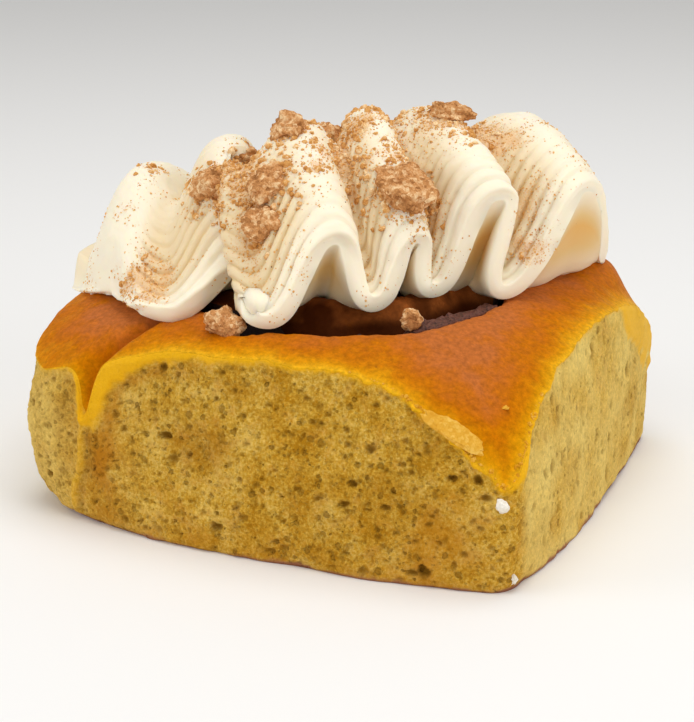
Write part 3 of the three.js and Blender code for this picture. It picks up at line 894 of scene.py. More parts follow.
@dataclass
class CrumbBody:
    """The torn, porous inside of the bun, from its sole up to under the crust."""

    form: BunForm
    columns: int = 1050
    rows: int = 88
    wave: tuple[float, float] = (13.0, 0.6)                 # size and height of the tear's unevenness
    ripple: tuple[float, float] = (4.2, 0.34)
    fibre: tuple[float, float] = (1.1, 0.2)
    crease: tuple[float, float, float, float] = (229.5, 0.15, 0.6, 25)      # angle, slant, depth, top
    # A small lump low on the left: angle, height, half width, half height and how far it stands out.
    nub: tuple[float, float, float, float, float] = (204, 26, 2.6, 2.0, 1.9)
    plan_radius: float = 57.0                               # at which the nub's width is measured
    cap_depths: tuple[tuple[float, float], ...] = ((0.985, 0.9), (0.965, 2.0), (0.935, 12.5), (0.4, 15.0))
    sole_shares: tuple[float, ...] = (0.985, 0.93, 0.6)
    # Smooth dents where a clump of crumb went with the next roll: angle, height, half sizes, depth.
    dents: tuple[tuple[float, float, float, float, float], ...] = (
        (-105.8, 20, 6.5, 4.0, 1.7), (-74.7, 11, 8, 6, 1.0), (-62, 16, 6, 6, 1.0), (-128, 12, 4, 3, 0.8),
        (-96, 32, 6, 2, 0.7), (20, 14, 6, 4, 1.0), (85, 18, 9, 5, 1.4), (110, 9, 5, 4, 1.0),
        (175, 22, 5, 6, 1.1),
    )

    def skin_width(self, angle: np.ndarray) -> np.ndarray:
        """Give how far below the crust the side is smooth, untorn skin."""
        front = 3.4 * bell(angle, 236, 6) + 1.6 * bell(angle, 248, 7)
        front = front + 0.9 * bell(angle, 262, 14) + 0.5 * bell(angle, 290, 14)
        right = 2.4 * bell(angle, -42.0, 2.4) + 7.5 * smooth((angle - 12) / 12) * smooth((60 - angle) / 15)
        behind = 3.0 * bell(angle, 70, 12) + 4.0 * bell(angle, 160, 10)
        return 0.5 + front + right + behind

    @staticmethod
    def is_right(angle: np.ndarray) -> np.ndarray:
        """Give how far an angle lies on the right side, where the tear is smoother and painted paler as if
        lit.
        """
        return smooth((46 - np.abs(turn_between(angle, 2))) / 4)

    def build(self, finish: bpy.types.Material) -> bpy.types.Object:
        """Make the piece.

        Args:
            finish: Its material.

        Returns:
            The object, which stands for the dough with the crust.
        """
        angle = self.form.stations(self.columns, front_weight=1.7)
        top = self.form.tear_height(angle)
        share = np.linspace(0, 1, self.rows)[:, None]
        height = share * top[None, :]
        angles = np.broadcast_to(angle, height.shape)
        below_edge = top[None, :] - height
        ragged = self.form.raggedness(angle)[None, :] * np.exp(-below_edge / 3)
        side = polar(angles, self.form.side_reach(angles, height) + ragged, height)
        normal = unit(np.cross(np.roll(side, -1, 1) - np.roll(side, 1, 1), np.gradient(side, axis=0)))
        edge_curve = self.form.tear_curve(angle)[::2]
        to_edge = distance_to_curve(side.reshape(-1, 3), edge_curve).reshape(height.shape)
        width = self.skin_width(angles)
        fray = (0.4 * noise(side, 3.0, 41) + 0.25 * noise(side, 8.0, 42)) * width
        fray = fray + 0.45 * noise(side, 1.0, 40)
        skin = smooth((width + fray - to_edge) / 1.7 + 0.35)
        swollen = smooth((width + 0.6 + 0.5 * fray - to_edge) / 2.6)
        warped = side + 0.45 * np.stack([noise(side, 1.4, s) for s in (51, 52, 53)], -1)
        upright = np.where(self.is_right(angles) > 0.5, 0.6, 1.2)
        squashed = np.stack([0.85 * warped[..., 0], 0.85 * warped[..., 1], upright * warped[..., 2]], -1)
        crowd = smooth(0.55 + 0.9 * rough_noise(side, 10.0, 2, 55))
        large = bubbles(squashed, 3.0, 0.45, 1.15, 0.85, 61) * (0.4 + 0.6 * crowd)
        middling = bubbles(squashed, 1.7, 0.3, 0.7, 0.85, 71)
        small = bubbles(warped, 1.05, 0.2, 0.45, 0.8, 65)
        pore = np.maximum(large, np.maximum(middling * 0.9, small * 0.8))
        open_ = (1 - skin) * smooth(below_edge / 1.2) * smooth(height / 1.2)
        calm = 1 - 0.4 * self.is_right(angles)
        dent = np.zeros_like(height)
        for at, level, wide, tall, deep in self.dents:
            along = np.radians(turn_between(angles, at)) * 52
            dent += deep * np.exp(-((along / wide) ** 2) - ((height - level) / tall) ** 2)
        at, slant, deep, crease_top = self.crease
        lane = np.radians(turn_between(angles, at) - slant * height) * 60 + 1.1 * noise(side, 6.0, 58)
        reach = smooth((crease_top - height) / 3) * smooth(height / 4)
        crease = deep * np.exp(-((lane / 0.9) ** 2)) * reach
        ridge = 0.8 * np.exp(-(((lane + 1.3) / 0.6) ** 2)) * reach * (0.8 + 0.5 * noise(side, 2.0, 59))
        low = 1 + 1.2 * smooth((9 - height) / 6) * bell(angles, -98, 24)
        ripples = self.ripple[1] * low * rough_noise(side, self.ripple[0], 3, 44)
        uneven = self.wave[1] * noise(side, self.wave[0], 43) + ripples
        fibres = self.fibre[1] * rough_noise(side, self.fibre[0], 2, 46)
        push = (uneven + fibres - dent) * smooth(below_edge / 2.5) * smooth(height / 1.6)
        push = push * (1 - 0.7 * skin) * calm
        push += (0.8 + 0.25 * noise(side, 2.2, 60)) * swollen * smooth(below_edge / 1.2) * smooth(width / 2)
        push += ridge - pore * open_ * calm - crease
        at, level, wide, tall, stands_out = self.nub
        along = np.radians(turn_between(angles, at)) * self.plan_radius
        nub = np.exp(-((along / wide) ** 2) - ((height - level) / tall) ** 2)
        push += stands_out * nub * (1 + 0.3 * noise(side, 1.5, 62))
        edge = smooth(1 - height / 4.0)
        push += edge * (0.8 * noise(side, 11.0, 47) + 0.3 * noise(side, 3.0, 48) + 0.9 * bell(angles, -68, 9))
        side = side + normal * push[..., None]
        side[..., 2] = np.maximum(side[..., 2], 0)
        side[0, :, 2] = 0
        rings = [side.reshape(-1, 3)]
        plan = self.form.edge_radius(angle)
        for inward, depth in self.cap_depths:
            rings.append(polar(angle, plan * inward, self.form.crust_height(angle, plan * inward) - depth))
        soles = [side[0] * np.array([inward, inward, 0]) for inward in self.sole_shares]
        rings += soles
        points = np.vstack(rings + [np.array([[0, 0, self.form.height - 16], [0, 0, 0]])])
        columns, caps = self.columns, len(self.cap_depths)
        upper = self.rows + caps
        faces = [ring_quads(upper, columns)]
        ring = np.arange(columns)
        after = (ring + 1) % columns
        sole_start = upper * columns
        faces.append(np.stack([ring, sole_start + ring, sole_start + after, after], -1))
        faces.append(ring_quads(len(soles), columns, sole_start))
        last_cap, last_sole = (upper - 1) * columns, sole_start + (len(soles) - 1) * columns
        crown_point, sole_point = len(points) - 2, len(points) - 1
        faces.append(np.stack([last_cap + ring, last_cap + after, np.full(columns, crown_point)], -1))
        faces.append(np.stack([last_sole + after, last_sole + ring, np.full(columns, sole_point)], -1))
        spare = len(points) - side.shape[0] * columns
        # painted shade: darker in the pores, the dents and the crease, stored as the pore value
        shade = np.clip(pore * open_ * 1.1 * calm + 0.1 * dent + 0.25 * crease, 0, 1)
        skin = np.maximum(skin * (1 - 0.35 * bell(angles, 34, 18)), 0.45 * smooth(ridge / 0.5))
        level = 0.9 + 0.35 * self.is_right(angles)
        browned = smooth((level + 0.5 * noise(side, 4.0, 49) + 0.25 * noise(side, 1.1, 50) - height) / 0.8)
        # painted shade: below the skin band, in a zone near the front-left corner and in the front dents;
        # also darker low on the front and at the front-right corner
        painted_shade_and_low_darkening = 0.85 * bell(angles, 234.5, 3.5) * np.exp(-(((height - 14) / 12) ** 2)) * (1 - skin)
        painted_shade_and_low_darkening += 0.6 * np.exp(-(((to_edge - width - 1.2) / 1.3) ** 2)) * bell(angles, 242, 10)
        corner = 0.55 * bell(angles, -56, 8) * smooth((22 - height) / 12)
        painted_shade_and_low_darkening += corner + 0.3 * bell(angles, -95, 40) * smooth((8 - height) / 8)
        painted_shade_and_low_darkening += 0.5 * smooth(dent / 1.2) * bell(angles, -100, 20)
        painted_shade_and_low_darkening = np.clip(painted_shade_and_low_darkening * (0.75 + 0.6 * noise(side, 3.0, 56)), 0, 0.9)
        # painted light: the right and left sides painted paler as if lit from the side, and paler toward the
        # back; fewer drawn holes where it lies
        pale = 0.7 * self.is_right(angles) + 0.8 * bell(angles, 205, 22) + 0.5 * bell(angles, 120, 60)
        pale = np.clip(pale * (0.8 + 0.55 * rough_noise(side, 7.0, 2, 57)), 0, 1)
        values = {title: np.concatenate([given.ravel(), np.zeros(spare)]) for title, given in
                  (("pore", shade), ("skin", skin * 0.92), ("painted_shade_and_low_darkening", painted_shade_and_low_darkening), ("pale", pale))}
        below = [np.zeros(caps * columns), np.ones(len(soles) * columns), [0, 1]]
        values["sole"] = np.concatenate([browned.ravel(), *below])
        return Solid(points, faces, values).outward().to_object("dough_crumb", finish)


@dataclass
class CrustSkin:
    """The baked crust over the crown, with the open seam and a ragged lip where it tore."""

    form: BunForm
    seam: Seam
    columns: int = 880
    coarse_rows: int = 12
    fine_rows: int = 88
    fine_from: float = 0.42
    lip_rows: int = 5
    thickness: float = 0.9
    under: tuple[tuple[float, float], ...] = ((0.98, 1.4), (0.96, 3.0), (0.925, 13.0), (0.3, 14.0))

    def lip_reach(self, curve: np.ndarray) -> np.ndarray:
        """Give how far the torn crust sticks out past the crumb."""
        angle = np.degrees(np.arctan2(curve[..., 1], curve[..., 0]))
        corner = bell(angle, -58, 12) + 0.5 * bell(angle, -40, 4)
        loose = (0.1 + 0.75 * corner) * noise(curve, 1.3, 12) + 0.45 * corner * noise(curve, 0.6, 16)
        return np.clip(0.22 + 0.6 * corner + 0.1 * noise(curve, 4.0, 11) + loose, 0.05, 2.0)

    def build(self, finish: bpy.types.Material) -> bpy.types.Object:
        """Make the piece.

        Args:
            finish: Its material.

        Returns:
            The object, which stands for the dough with the crumb.
        """
        form = self.form
        angle = form.stations(self.columns, front_weight=1.5)
        edge_radius = form.edge_radius(angle)
        curve = form.tear_curve(angle)
        shares = np.concatenate([np.linspace(0.03, self.fine_from, self.coarse_rows, endpoint=False),
                                 np.linspace(self.fine_from, 1, self.fine_rows)])[:, None]
        radius = shares * edge_radius[None, :]
        angles = np.broadcast_to(angle, radius.shape)
        dip, syrup_stain_and_shade = self.seam.relief(angles, radius)
        top = polar(angles, radius, form.crust_height(angles, radius) - dip)
        wrinkle = 0.2 * noise(top, 7.0, 13) + 0.1 * rough_noise(top, 1.8, 3, 14)
        top[..., 2] += wrinkle * smooth((1 - shares) / 0.05 + 0.3)
        normal = form.crust_normal(angle, edge_radius)
        along = unit(np.roll(curve, -1, 0) - np.roll(curve, 1, 0))
        outward = unit(np.cross(along, normal))
        reach = self.lip_reach(curve)
        ring_list = [top.reshape(-1, 3)]
        edge_row = top[-1]
        thick = self.thickness * (1 + 0.3 * noise(curve, 2.0, 15))
        for i in range(1, self.lip_rows + 1):
            share = i / self.lip_rows
            droop = thick * (1 - np.sqrt(1 - share**2))
            lift = 0.3 * share * reach
            step = outward * (reach * share)[:, None] - normal * (droop * 0.55 - lift)[:, None]
            ring_list.append(edge_row + step)
        tip = ring_list[-1]
        ring_list.append(tip - normal * (thick * 0.5)[:, None] - outward * (reach * 0.35)[:, None])
        for inward, depth in self.under:
            plan = edge_radius * inward
            ring_list.append(polar(angle, plan, form.crust_height(angle, plan) - depth))
        centre = form.height - float(self.seam.relief(np.array(0.0), np.array(0.0))[0])
        points = np.vstack(ring_list + [np.array([[0, 0, centre], [0, 0, form.height - 15]])])
        columns = self.columns
        row_count = (len(points) - 2) // columns
        ring = np.arange(columns)
        after = (ring + 1) % columns
        last = (row_count - 1) * columns
        faces = [ring_quads(row_count, columns),
                 np.stack([after, ring, np.full(columns, len(points) - 2)], -1),
                 np.stack([last + ring, last + after, np.full(columns, len(points) - 1)], -1)]
        distance = distance_to_curve(top.reshape(-1, 3), curve)
        spare = len(points) - top.shape[0] * columns
        around = np.degrees(np.arctan2(top[..., 1], top[..., 0])).ravel()
        crumbly = (bell(around, -56, 9) + 0.6 * bell(around, -41, 4)) * (distance < 0.55)
        distance = distance + 4.0 * bell(around, 206, 22)
        values = {"edge": np.concatenate([distance, np.zeros(spare)]),
                  "crumbly": np.concatenate([crumbly, np.zeros(spare)]),
                  # seam: syrup colour and painted shade in the groove and on the inner coil
                  "seam": np.concatenate([syrup_stain_and_shade.ravel() * 0.95, np.zeros(spare)])}
        return Solid(points, faces, values).outward().to_object("dough_crust", finish)


@dataclass
class FillingStrip:
    """The cinnamon filling that lines the seam, heaped where the groove is full at the front right."""

    form: BunForm
    seam: Seam
    outer_step: float = 0.42
    inner_step: float = 1.4
    across: int = 26
    bed: float = 2.5                                        # mm of filling below the groove's floor
    heap: tuple[float, float, float] = (323, 19, 0.4)       # angle, spread, depth of its top below the crust

    def stations(self) -> np.ndarray:
        """Give the degrees turned at each station, close together on the outer turn only."""
        found = [6.0]
        while found[-1] < self.seam.turned - 6:
            radius = float(self.seam.radius_at(np.array(found[-1])))
            step = self.outer_step if found[-1] < 330 else self.inner_step
            found.append(found[-1] + math.degrees(step / radius))
        return np.array(found)

    def build(self, finish: bpy.types.Material) -> bpy.types.Object:
        """Make the piece.

        Args:
            finish: Its material.

        Returns:
            The object, which stands for the filling.
        """
        turned = self.stations()[:, None]
        angle = self.seam.start_angle + turned
        half = self.seam.widths(turned)[0]
        part = np.linspace(-0.93, 0.93, self.across)[None, :]
        radius = self.seam.radius_at(turned) + part * half
        angles = np.broadcast_to(angle, radius.shape)
        crust = self.form.crust_height(angles, radius)
        floor = crust - self.seam.relief(angles, radius)[0]
        heap_angle, heap_spread, heap_drop = self.heap
        full = smooth(1.9 * bell(angles, heap_angle, heap_spread)) * (turned < 330)
        place = polar(angles, radius, crust)
        bank = -0.3 + 0.3 * noise(place, 4.0, 96)
        heaped = crust - heap_drop - 12 * np.clip(bank - part, 0, 0.6)
        heaped = heaped - 0.6 * np.clip(0.9 - part, 0, None) - 7 * (1 - full)
        grains = bubbles(place, 1.3, 0.4, 0.85, 0.9, 91) + 0.3 * noise(place, 0.8, 94)
        lining = 0.25 + 0.35 * np.abs(noise(place, 2.5, 95))
        level = np.maximum(floor + lining, heaped) + 0.75 * grains * (0.35 + 0.65 * full)
        rim = np.abs(part) > 0.9
        level = np.where(rim, np.minimum(level, crust - 0.9), level)
        top = polar(angles, radius, level)
        bottom_part = np.array([0.93, 0.3, -0.3, -0.93])[None, :]
        bottom_radius = self.seam.radius_at(turned) + bottom_part * half * 0.6
        bottom_angles = np.broadcast_to(angle, bottom_radius.shape)
        deep = self.form.crust_height(bottom_angles, bottom_radius) - self.seam.depth - self.bed
        bottom = polar(bottom_angles, bottom_radius, deep)
        rings = np.concatenate([top, bottom], axis=1)
        rows, columns = rings.shape[:2]
        points = rings.reshape(-1, 3)
        low = np.array([0, *range(columns - 1, self.across - 2, -1)])
        high = np.arange(self.across)
        start_cap = zip_triangles(high, low)
        end_cap = zip_triangles(high, low)[:, ::-1] + (rows - 1) * columns
        values = {"grains": np.concatenate([0.35 + 0.9 * full * np.ones_like(top[..., 0]),
                                            np.zeros(bottom.shape[:2])], axis=1).ravel()}
        return Solid(points, [ring_quads(rows, columns), start_cap, end_cap], values).outward().to_object(
            "cinnamon_filling_strip", finish)


# ---------------------------------------------------------------- the frosting ribbon


@dataclass(frozen=True)
class Fold:
    """One fold of the ribbon: where its front edge stands, its heights, rounding, heading and length."""

    x: float
    y: float
    z: float
    top: float
    back: float
    rounding: float
    heading: float
    length: float


@dataclass(frozen=True)
class Patch:
    """A place on the ribbon where crumble fell: fold, share of the length, radius, and how thickly."""

    fold: float
    along: float
    radius: float
    crumbs: float
    dust: float


@dataclass
class Ribbon:
    """The piped frosting: one toothed ribbon folded to and fro across the roll."""

    patches: tuple[Patch, ...] = (
        Patch(2.85, 0.23, 5.5, 1.0, 1.0), Patch(3.8, 0.46, 5.5, 0.9, 1.0), Patch(4.35, 0.35, 6, 1.0, 1.0),
        Patch(4.8, 0.34, 5, 0.9, 0.9), Patch(4.3, 0.25, 3.5, 0.9, 0.9), Patch(4.28, 0.2, 2.2, 0.4, 0.8),
        Patch(4.95, 0.25, 4.5, 0.5, 0.8), Patch(6.0, 0.43, 6, 0.8, 1.0), Patch(6.9, 0.26, 5.5, 0.6, 0.9),
        Patch(7.0, 0.12, 6, 0.7, 0.9), Patch(7.0, 0.36, 5.5, 0.8, 0.9), Patch(8.4, 0.18, 3.5, 0.5, 0.9),
        Patch(5.2, 0.6, 7, 0.8, 0.9), Patch(6.8, 0.6, 8, 0.7, 0.9), Patch(9.05, 0.38, 7, 0.6, 0.9),
        Patch(10.5, 0.4, 6, 0.15, 0.9), Patch(10.5, 0.15, 5, 0.12, 0.9), Patch(10.35, 0.05, 3, 0.2, 0.8),
        Patch(1.2, 0.5, 2, 0.4, 0.8), Patch(1.15, 0.26, 2, 0.15, 0.6), Patch(1.9, 0.12, 3.5, 0.25, 0.9),
        Patch(1.6, 0.11, 4, 0.3, 0.9), Patch(2.4, 0.17, 3.5, 0.1, 0.5), Patch(6.2, 0.28, 4, 0.25, 0.8),
        Patch(11.1, 0.2, 6, 0.08, 0.7),
    )
    folds: tuple[Fold, ...] = (
        Fold(-59.7, -19, 38.3, 40.5, 38.5, 7.5, 89, 40),
        Fold(-42, -31.5, 42, 62.5, 50, 6, 92, 46),
        Fold(-26, -40, 42, 57, 45, 9, 103, 50),
        Fold(-14, -30, 50, 69, 55, 6, 112, 52),
        Fold(-3.7, -41.8, 43.8, 66, 46, 8, 115, 54),
        Fold(5, -29, 57.5, 73, 58, 6.5, 117, 54),
        Fold(13, -28.8, 46, 70, 47, 8, 120, 54),
        Fold(17.5, -18.5, 56.5, 75, 59, 5.5, 122, 54),
        Fold(21, -18, 46.9, 71, 47, 6.5, 125, 54),
        Fold(30.5, -8, 64, 75, 59, 7.5, 128, 54),
        Fold(33, -9.4, 45.7, 69, 46, 8, 130, 52),
        Fold(43, 7, 63.5, 72.5, 58, 8, 130, 48),
        Fold(42, 28, 45, 56, 44, 6, 128, 30),
    )
    thickness: float = 4.0
    fold_turn: float = 40.0
    crest_powers: tuple[float, float] = (1.9, 2.0)
    valley_slope: float = 0.1
    valley_power: float = 1.5
    cave: tuple[float, float, float] = (0.15, 0.26, 45.0)    # open shares at front and back, inner floor
    squeeze: float = 0.45
    handles: tuple[float, float] = (0.45, 0.42)
    ridge_pitch: float = 2.4
    ridge_height: float = 0.72
    crease_width: float = 0.4
    across_count: int = 440
    lobes: tuple[tuple[float, ...], ...] = (                 # place, sizes, turn, and how strong the painted golden shade on its top is
        (33.8, 21.3, 50.5, 12.5, 25, 22, -13, 1.0), (-8.5, -36.3, 46.0, 5.6, 12, 5.4, 42, 0.0),
    )

    def row(self, name: str) -> np.ndarray:
        """Give one measure of every fold as a column."""
        return np.array([getattr(fold, name) for fold in self.folds], float)[:, None]

    @property
    def valley(self) -> np.ndarray:
        """Tell which folds are valleys."""
        return np.arange(len(self.folds)) % 2 == 0

    def fold_lines(self, along: np.ndarray, under: bool) -> np.ndarray:
        """Give every fold's line from front to back.

        Args:
            along: Shares of the length.
            under: Whether it is the ribbon's lower side.

        Returns:
            Points by fold and share.
        """
        start = np.radians(self.row("heading") + self.fold_turn / 2)
        turn = np.radians(self.fold_turn)
        angle = start - turn * along[None, :]
        x = self.row("x") - (np.sin(angle) - np.sin(start)) / turn * self.row("length")
        y = self.row("y") + (np.cos(angle) - np.cos(start)) / turn * self.row("length")
        z, top, back = self.row("z"), self.row("top"), self.row("back")
        share = along[None, :]
        if under:
            front_open, back_open, floor = self.cave
            front, rear = smooth(share / front_open), smooth((share - 1 + back_open) / back_open)
            height = z + (floor - z) * front + (back - floor) * rear
        else:
            front, rear = np.clip(2 * share, 0, 1), np.clip(2 * share - 1, 0, 1)
            valley = self.valley[:, None]
            rise = np.where(valley, self.valley_slope * front + (1 - self.valley_slope) * smooth(front),
                            1 - (1 - front) ** self.crest_powers[0])
            fall = rear ** np.where(valley, self.valley_power, self.crest_powers[1])
            height = z + (top - z) * rise + (back - top) * fall
        return np.stack([x, y, height], -1)

    def sheet(self, across: np.ndarray, along: np.ndarray, under: bool) -> np.ndarray:
        """Give the middle surface of the ribbon.

        Args:
            across: Fold numbers with their fractions.
            along: Shares of the length.
            under: Whether it is the line that the lower side follows.

        Returns:
            Points by place across and share along.
        """
        lines = self.fold_lines(along, under)
        flat = lines[..., :2]
        way = np.concatenate([flat[1:2] - flat[0:1], flat[2:] - flat[:-2], flat[-1:] - flat[-2:-1]])
        way = np.concatenate([unit(way), np.zeros_like(way[..., :1])], -1)
        fold = np.clip(np.floor(across).astype(int), 0, len(self.folds) - 2)
        u = (across - fold)[:, None, None]
        start, end = lines[fold], lines[fold + 1]
        gap = np.linalg.norm((end - start)[..., :2], axis=-1)
        reach = np.maximum(self.handles[0] * gap, self.handles[1] * np.abs(end - start)[..., 2])
        rounding = self.row("rounding")
        leave = start + way[fold] * np.minimum(rounding[fold], reach)[..., None]
        arrive = end - way[fold + 1] * np.minimum(rounding[fold + 1], reach)[..., None]
        return (1 - u) ** 3 * start + 3 * (1 - u) ** 2 * u * leave + 3 * (1 - u) * u * u * arrive + u**3 * end

    @staticmethod
    def normals(points: np.ndarray) -> np.ndarray:
        """Give the way a grid of points faces, evened out where the sheet is steep and narrow."""
        facing = np.cross(np.gradient(points, axis=0), np.gradient(points, axis=1))
        for _ in range(5):
            for axis in (0, 1):
                ends = [(1, 1) if i == axis else (0, 0) for i in range(3)]
                wide = np.pad(facing, ends, mode="edge")
                count = facing.shape[axis]
                below, above = (np.take(wide, np.arange(count) + step, axis=axis) for step in (0, 2))
                facing = (below + 2 * facing + above) / 4
        return unit(facing)

    def across_stations(self) -> np.ndarray:
        """Spread stations evenly along the folded section."""
        rough = np.linspace(0, len(self.folds) - 1, 2400)
        line = self.sheet(rough, np.array([0.12]), False)[:, 0]
        length = np.concatenate([[0], np.cumsum(np.linalg.norm(np.diff(line, axis=0), axis=-1))])
        return np.interp(np.linspace(0, length[-1], self.across_count), length, rough)

    @staticmethod
    def along_stations(edge: int, front: int, rest: int) -> np.ndarray:
        """Spread shares from front to back, close together at both edges."""
        rounding, middle = 0.045, 0.46
        bend = 1 - np.cos(np.linspace(0, math.pi / 2, edge))
        return np.concatenate([rounding * bend, np.linspace(rounding, middle, front)[1:],
                               np.linspace(middle, 1 - rounding, rest)[1:], 1 - rounding * bend[::-1][1:]])

    def edge_rounding(self, along: np.ndarray, length: np.ndarray) -> np.ndarray:
        """Give the share of full thickness near the ribbon's front and back edges."""
        inward = np.clip(np.minimum(along, 1 - along)[None, :] * length / 0.65, 0, 1)
        return (1 - (1 - inward) ** 3.4) ** (1 / 3.4)

    def smear(self, across: np.ndarray) -> np.ndarray:
        """Give how far the ribbon is smeared thin, at the start of the stroke."""
        return smooth((1.95 - across) / 0.5)

    def build_sheet(self) -> Solid:
        """Make the folded sheet as a closed solid with its ridges, dust and caves, and painted shade in its
        creases and caves.
        """
        across = self.across_stations()
        top_along = self.along_stations(9, 76, 62)
        under_along = self.along_stations(5, 20, 16)
        top_mid, under_mid = self.sheet(across, top_along, False), self.sheet(across, under_along, True)
        place = np.arange(len(self.folds))
        length = np.interp(across, place, self.row("length")[:, 0])[:, None]
        nearness = np.abs(np.cos(np.pi * (across - np.floor(across)))) ** 4
        nearest_valley = self.valley[np.clip(np.round(across).astype(int), 0, len(self.folds) - 1)]
        half = self.thickness / 2
        smear = self.smear(across)[:, None]
        end_thin = smooth((across[:, None] + 0.02) / 0.5) * 0.8 + 0.2
        top_normal, under_normal = self.normals(top_mid), self.normals(under_mid)
        distance = top_along[None, :] * length
        thin = (1 - 0.62 * smear * (1 - smooth((distance - 0.5) / 7))) * end_thin
        top_half = half * (1 - self.squeeze * nearness * nearest_valley)[:, None] * thin
        under_distance = under_along[None, :] * length
        under_thin = (1 - 0.62 * smear * (1 - smooth((under_distance - 0.5) / 7))) * end_thin
        under_half = half * (1 - self.squeeze * nearness * ~nearest_valley)[:, None] * under_thin
        crest = nearness[:, None] * ~nearest_valley[:, None]
        phase = (distance + 0.35 * noise(top_mid, 14.0, 21)) / self.ridge_pitch
        to_crease = np.abs(phase - np.round(phase)) * self.ridge_pitch
        tooth = np.exp(-((to_crease / self.crease_width) ** 2))
        tooth = tooth - 0.25 * np.sin(np.pi * (phase - np.floor(phase)))
        scooped = smooth((across[:, None] - 1.45) / 0.5)
        ridge_top = nearness[:, None] ** 0.45 * ~nearest_valley[:, None] * smooth(top_along[None, :] / 0.16)
        fade = smooth((distance - 1.4) / 0.7) * (1 - 0.8 * ridge_top)
        fade = fade * (0.85 + 0.45 * noise(top_mid, 9.0, 27))
        fade = fade * (1 - 0.75 * smooth((distance - 9) / 9)) * scooped
        fade = fade * (1 - 0.35 * smooth((2.6 - across[:, None]) / 0.6))
        steps = 0.07 * np.clip(distance - 1.6, 0, 8) * (1 - crest) * scooped
        ridges = np.maximum(-self.ridge_height * tooth * fade + steps, 0.3 - top_half)
        uneven = 0.35 * rough_noise(top_mid, 8.0, 2, 23) + 0.13 * rough_noise(top_mid, 1.8, 3, 25)
        rounding = self.edge_rounding(top_along, length)
        top = top_mid + top_normal * ((top_half + ridges + uneven) * rounding)[..., None]
        under_round = self.edge_rounding(under_along, length)
        under_uneven = 0.2 * noise(under_mid, 7.0, 26)
        under = under_mid - under_normal * ((under_half + under_uneven) * under_round)[..., None]
        top = self.ragged(across, top, top_along, length)
        under = self.ragged(across, under, under_along, length)
        rows, columns, low = len(across), len(top_along), len(under_along)
        inner = under[:, 1:-1]
        points = np.vstack([top.reshape(-1, 3), inner.reshape(-1, 3)])
        start = rows * columns
        i = np.arange(rows - 1)
        width = low - 2
        front = np.stack([i * columns, start + i * width, start + (i + 1) * width, (i + 1) * columns], -1)
        back = np.stack([i * columns + columns - 1, (i + 1) * columns + columns - 1,
                         start + (i + 1) * width + width - 1, start + i * width + width - 1], -1)
        below = grid_quads(rows, width, start)
        faces = [grid_quads(rows, columns), *(block[:, ::-1] for block in (below, front, back))]
        for row, flip in ((0, -1), (rows - 1, 1)):
            upper = row * columns + np.arange(columns)
            lower = np.concatenate([upper[:1], start + row * width + np.arange(width), upper[-1:]])
            faces.append(zip_triangles(upper, lower)[:, ::flip])
        dust = self.dust(across, top_along, top)
        # painted shade: golden under the arches, strongest high up under the crests
        cave = smooth((under_along[None, :] - 0.01) / 0.07) * (0.22 + 0.78 * crest_share(under) ** 0.8)
        # painted shade: tan in the ridges' creases and deeper in the scoop, lighter towards the back
        hollow = 0.2 * np.clip(tooth, 0, 1) * fade + 0.42 * smooth((distance - 2) / 5)
        hollow = hollow * (1 - crest) * scooped
        hollow = hollow * (1 - 0.5 * smooth((top_along[None, :] - 0.3) / 0.2))
        spare_under = np.zeros(inner.shape[:2])
        values = {
            "dust": np.concatenate([dust.ravel(), spare_under.ravel()]),
            "crumbs": np.concatenate([self.strewn(top, False).ravel(), spare_under.ravel()]),
            "cave": np.concatenate([hollow.ravel(), np.broadcast_to(cave, under.shape[:2])[:, 1:-1].ravel()]),
        }
        return Solid(points, faces, values)

    def ragged(self, across: np.ndarray, points: np.ndarray, along: np.ndarray,
               length: np.ndarray) -> np.ndarray:
        """Tear the front edge: long teeth at the smeared start, small nicks elsewhere."""
        front = points[:, :1]
        smear = self.smear(across)[:, None]
        teeth = 1.5 * noise(front, 5.0, 31) + 1.5 * noise(front, 2.0, 32) + 0.5 * noise(front, 0.9, 33)
        nicks = 0.3 * noise(front, 2.6, 34)
        lengthwise = unit(np.gradient(points, axis=1))
        lengthwise[..., 2] *= 0.3
        near = np.exp(-along[None, :] * length / 2.6)
        return points - lengthwise * ((teeth * smear + nicks * (1 - smear)) * near)[..., None]

    def strewn(self, points: np.ndarray, fine: bool) -> np.ndarray:
        """Give how thickly the patches of crumble lie at points, as crumbs or as fine dust."""
        total = np.zeros(points.shape[:-1]) - 0.1
        for patch in self.patches:
            folds = np.array([patch.fold, patch.fold + 0.01])
            centre = self.sheet(folds, np.array([patch.along]), False)[0, 0]
            away = np.linalg.norm(points - centre, axis=-1) / (patch.radius + self.thickness / 2)
            total = np.maximum(total, (patch.dust if fine else patch.crumbs) * 1.1 * np.exp(-(away**2)) - 0.1)
        clumps = smooth(0.55 + 1.1 * rough_noise(points, 4.0, 2, 37))
        return np.clip(total * (0.25 + 0.9 * clumps), 0, 1)

    def dust(self, across: np.ndarray, along: np.ndarray, points: np.ndarray) -> np.ndarray:
        """Give how thickly fine crumble and spice lie on the upper side."""
        spread = np.abs(across - 2 * np.round(across / 2))[:, None]
        crease = np.exp(-((spread / 0.35) ** 2)) * smooth((along - 0.03) / 0.1)[None, :]
        crease = crease * smooth((across[:, None] - 3.2) / 0.8)
        patches = rough_noise(points, 6.0, 3, 36)
        return np.clip(0.3 * crease + 0.8 * self.strewn(points, True) + 0.28 * patches - 0.02, 0, 1)

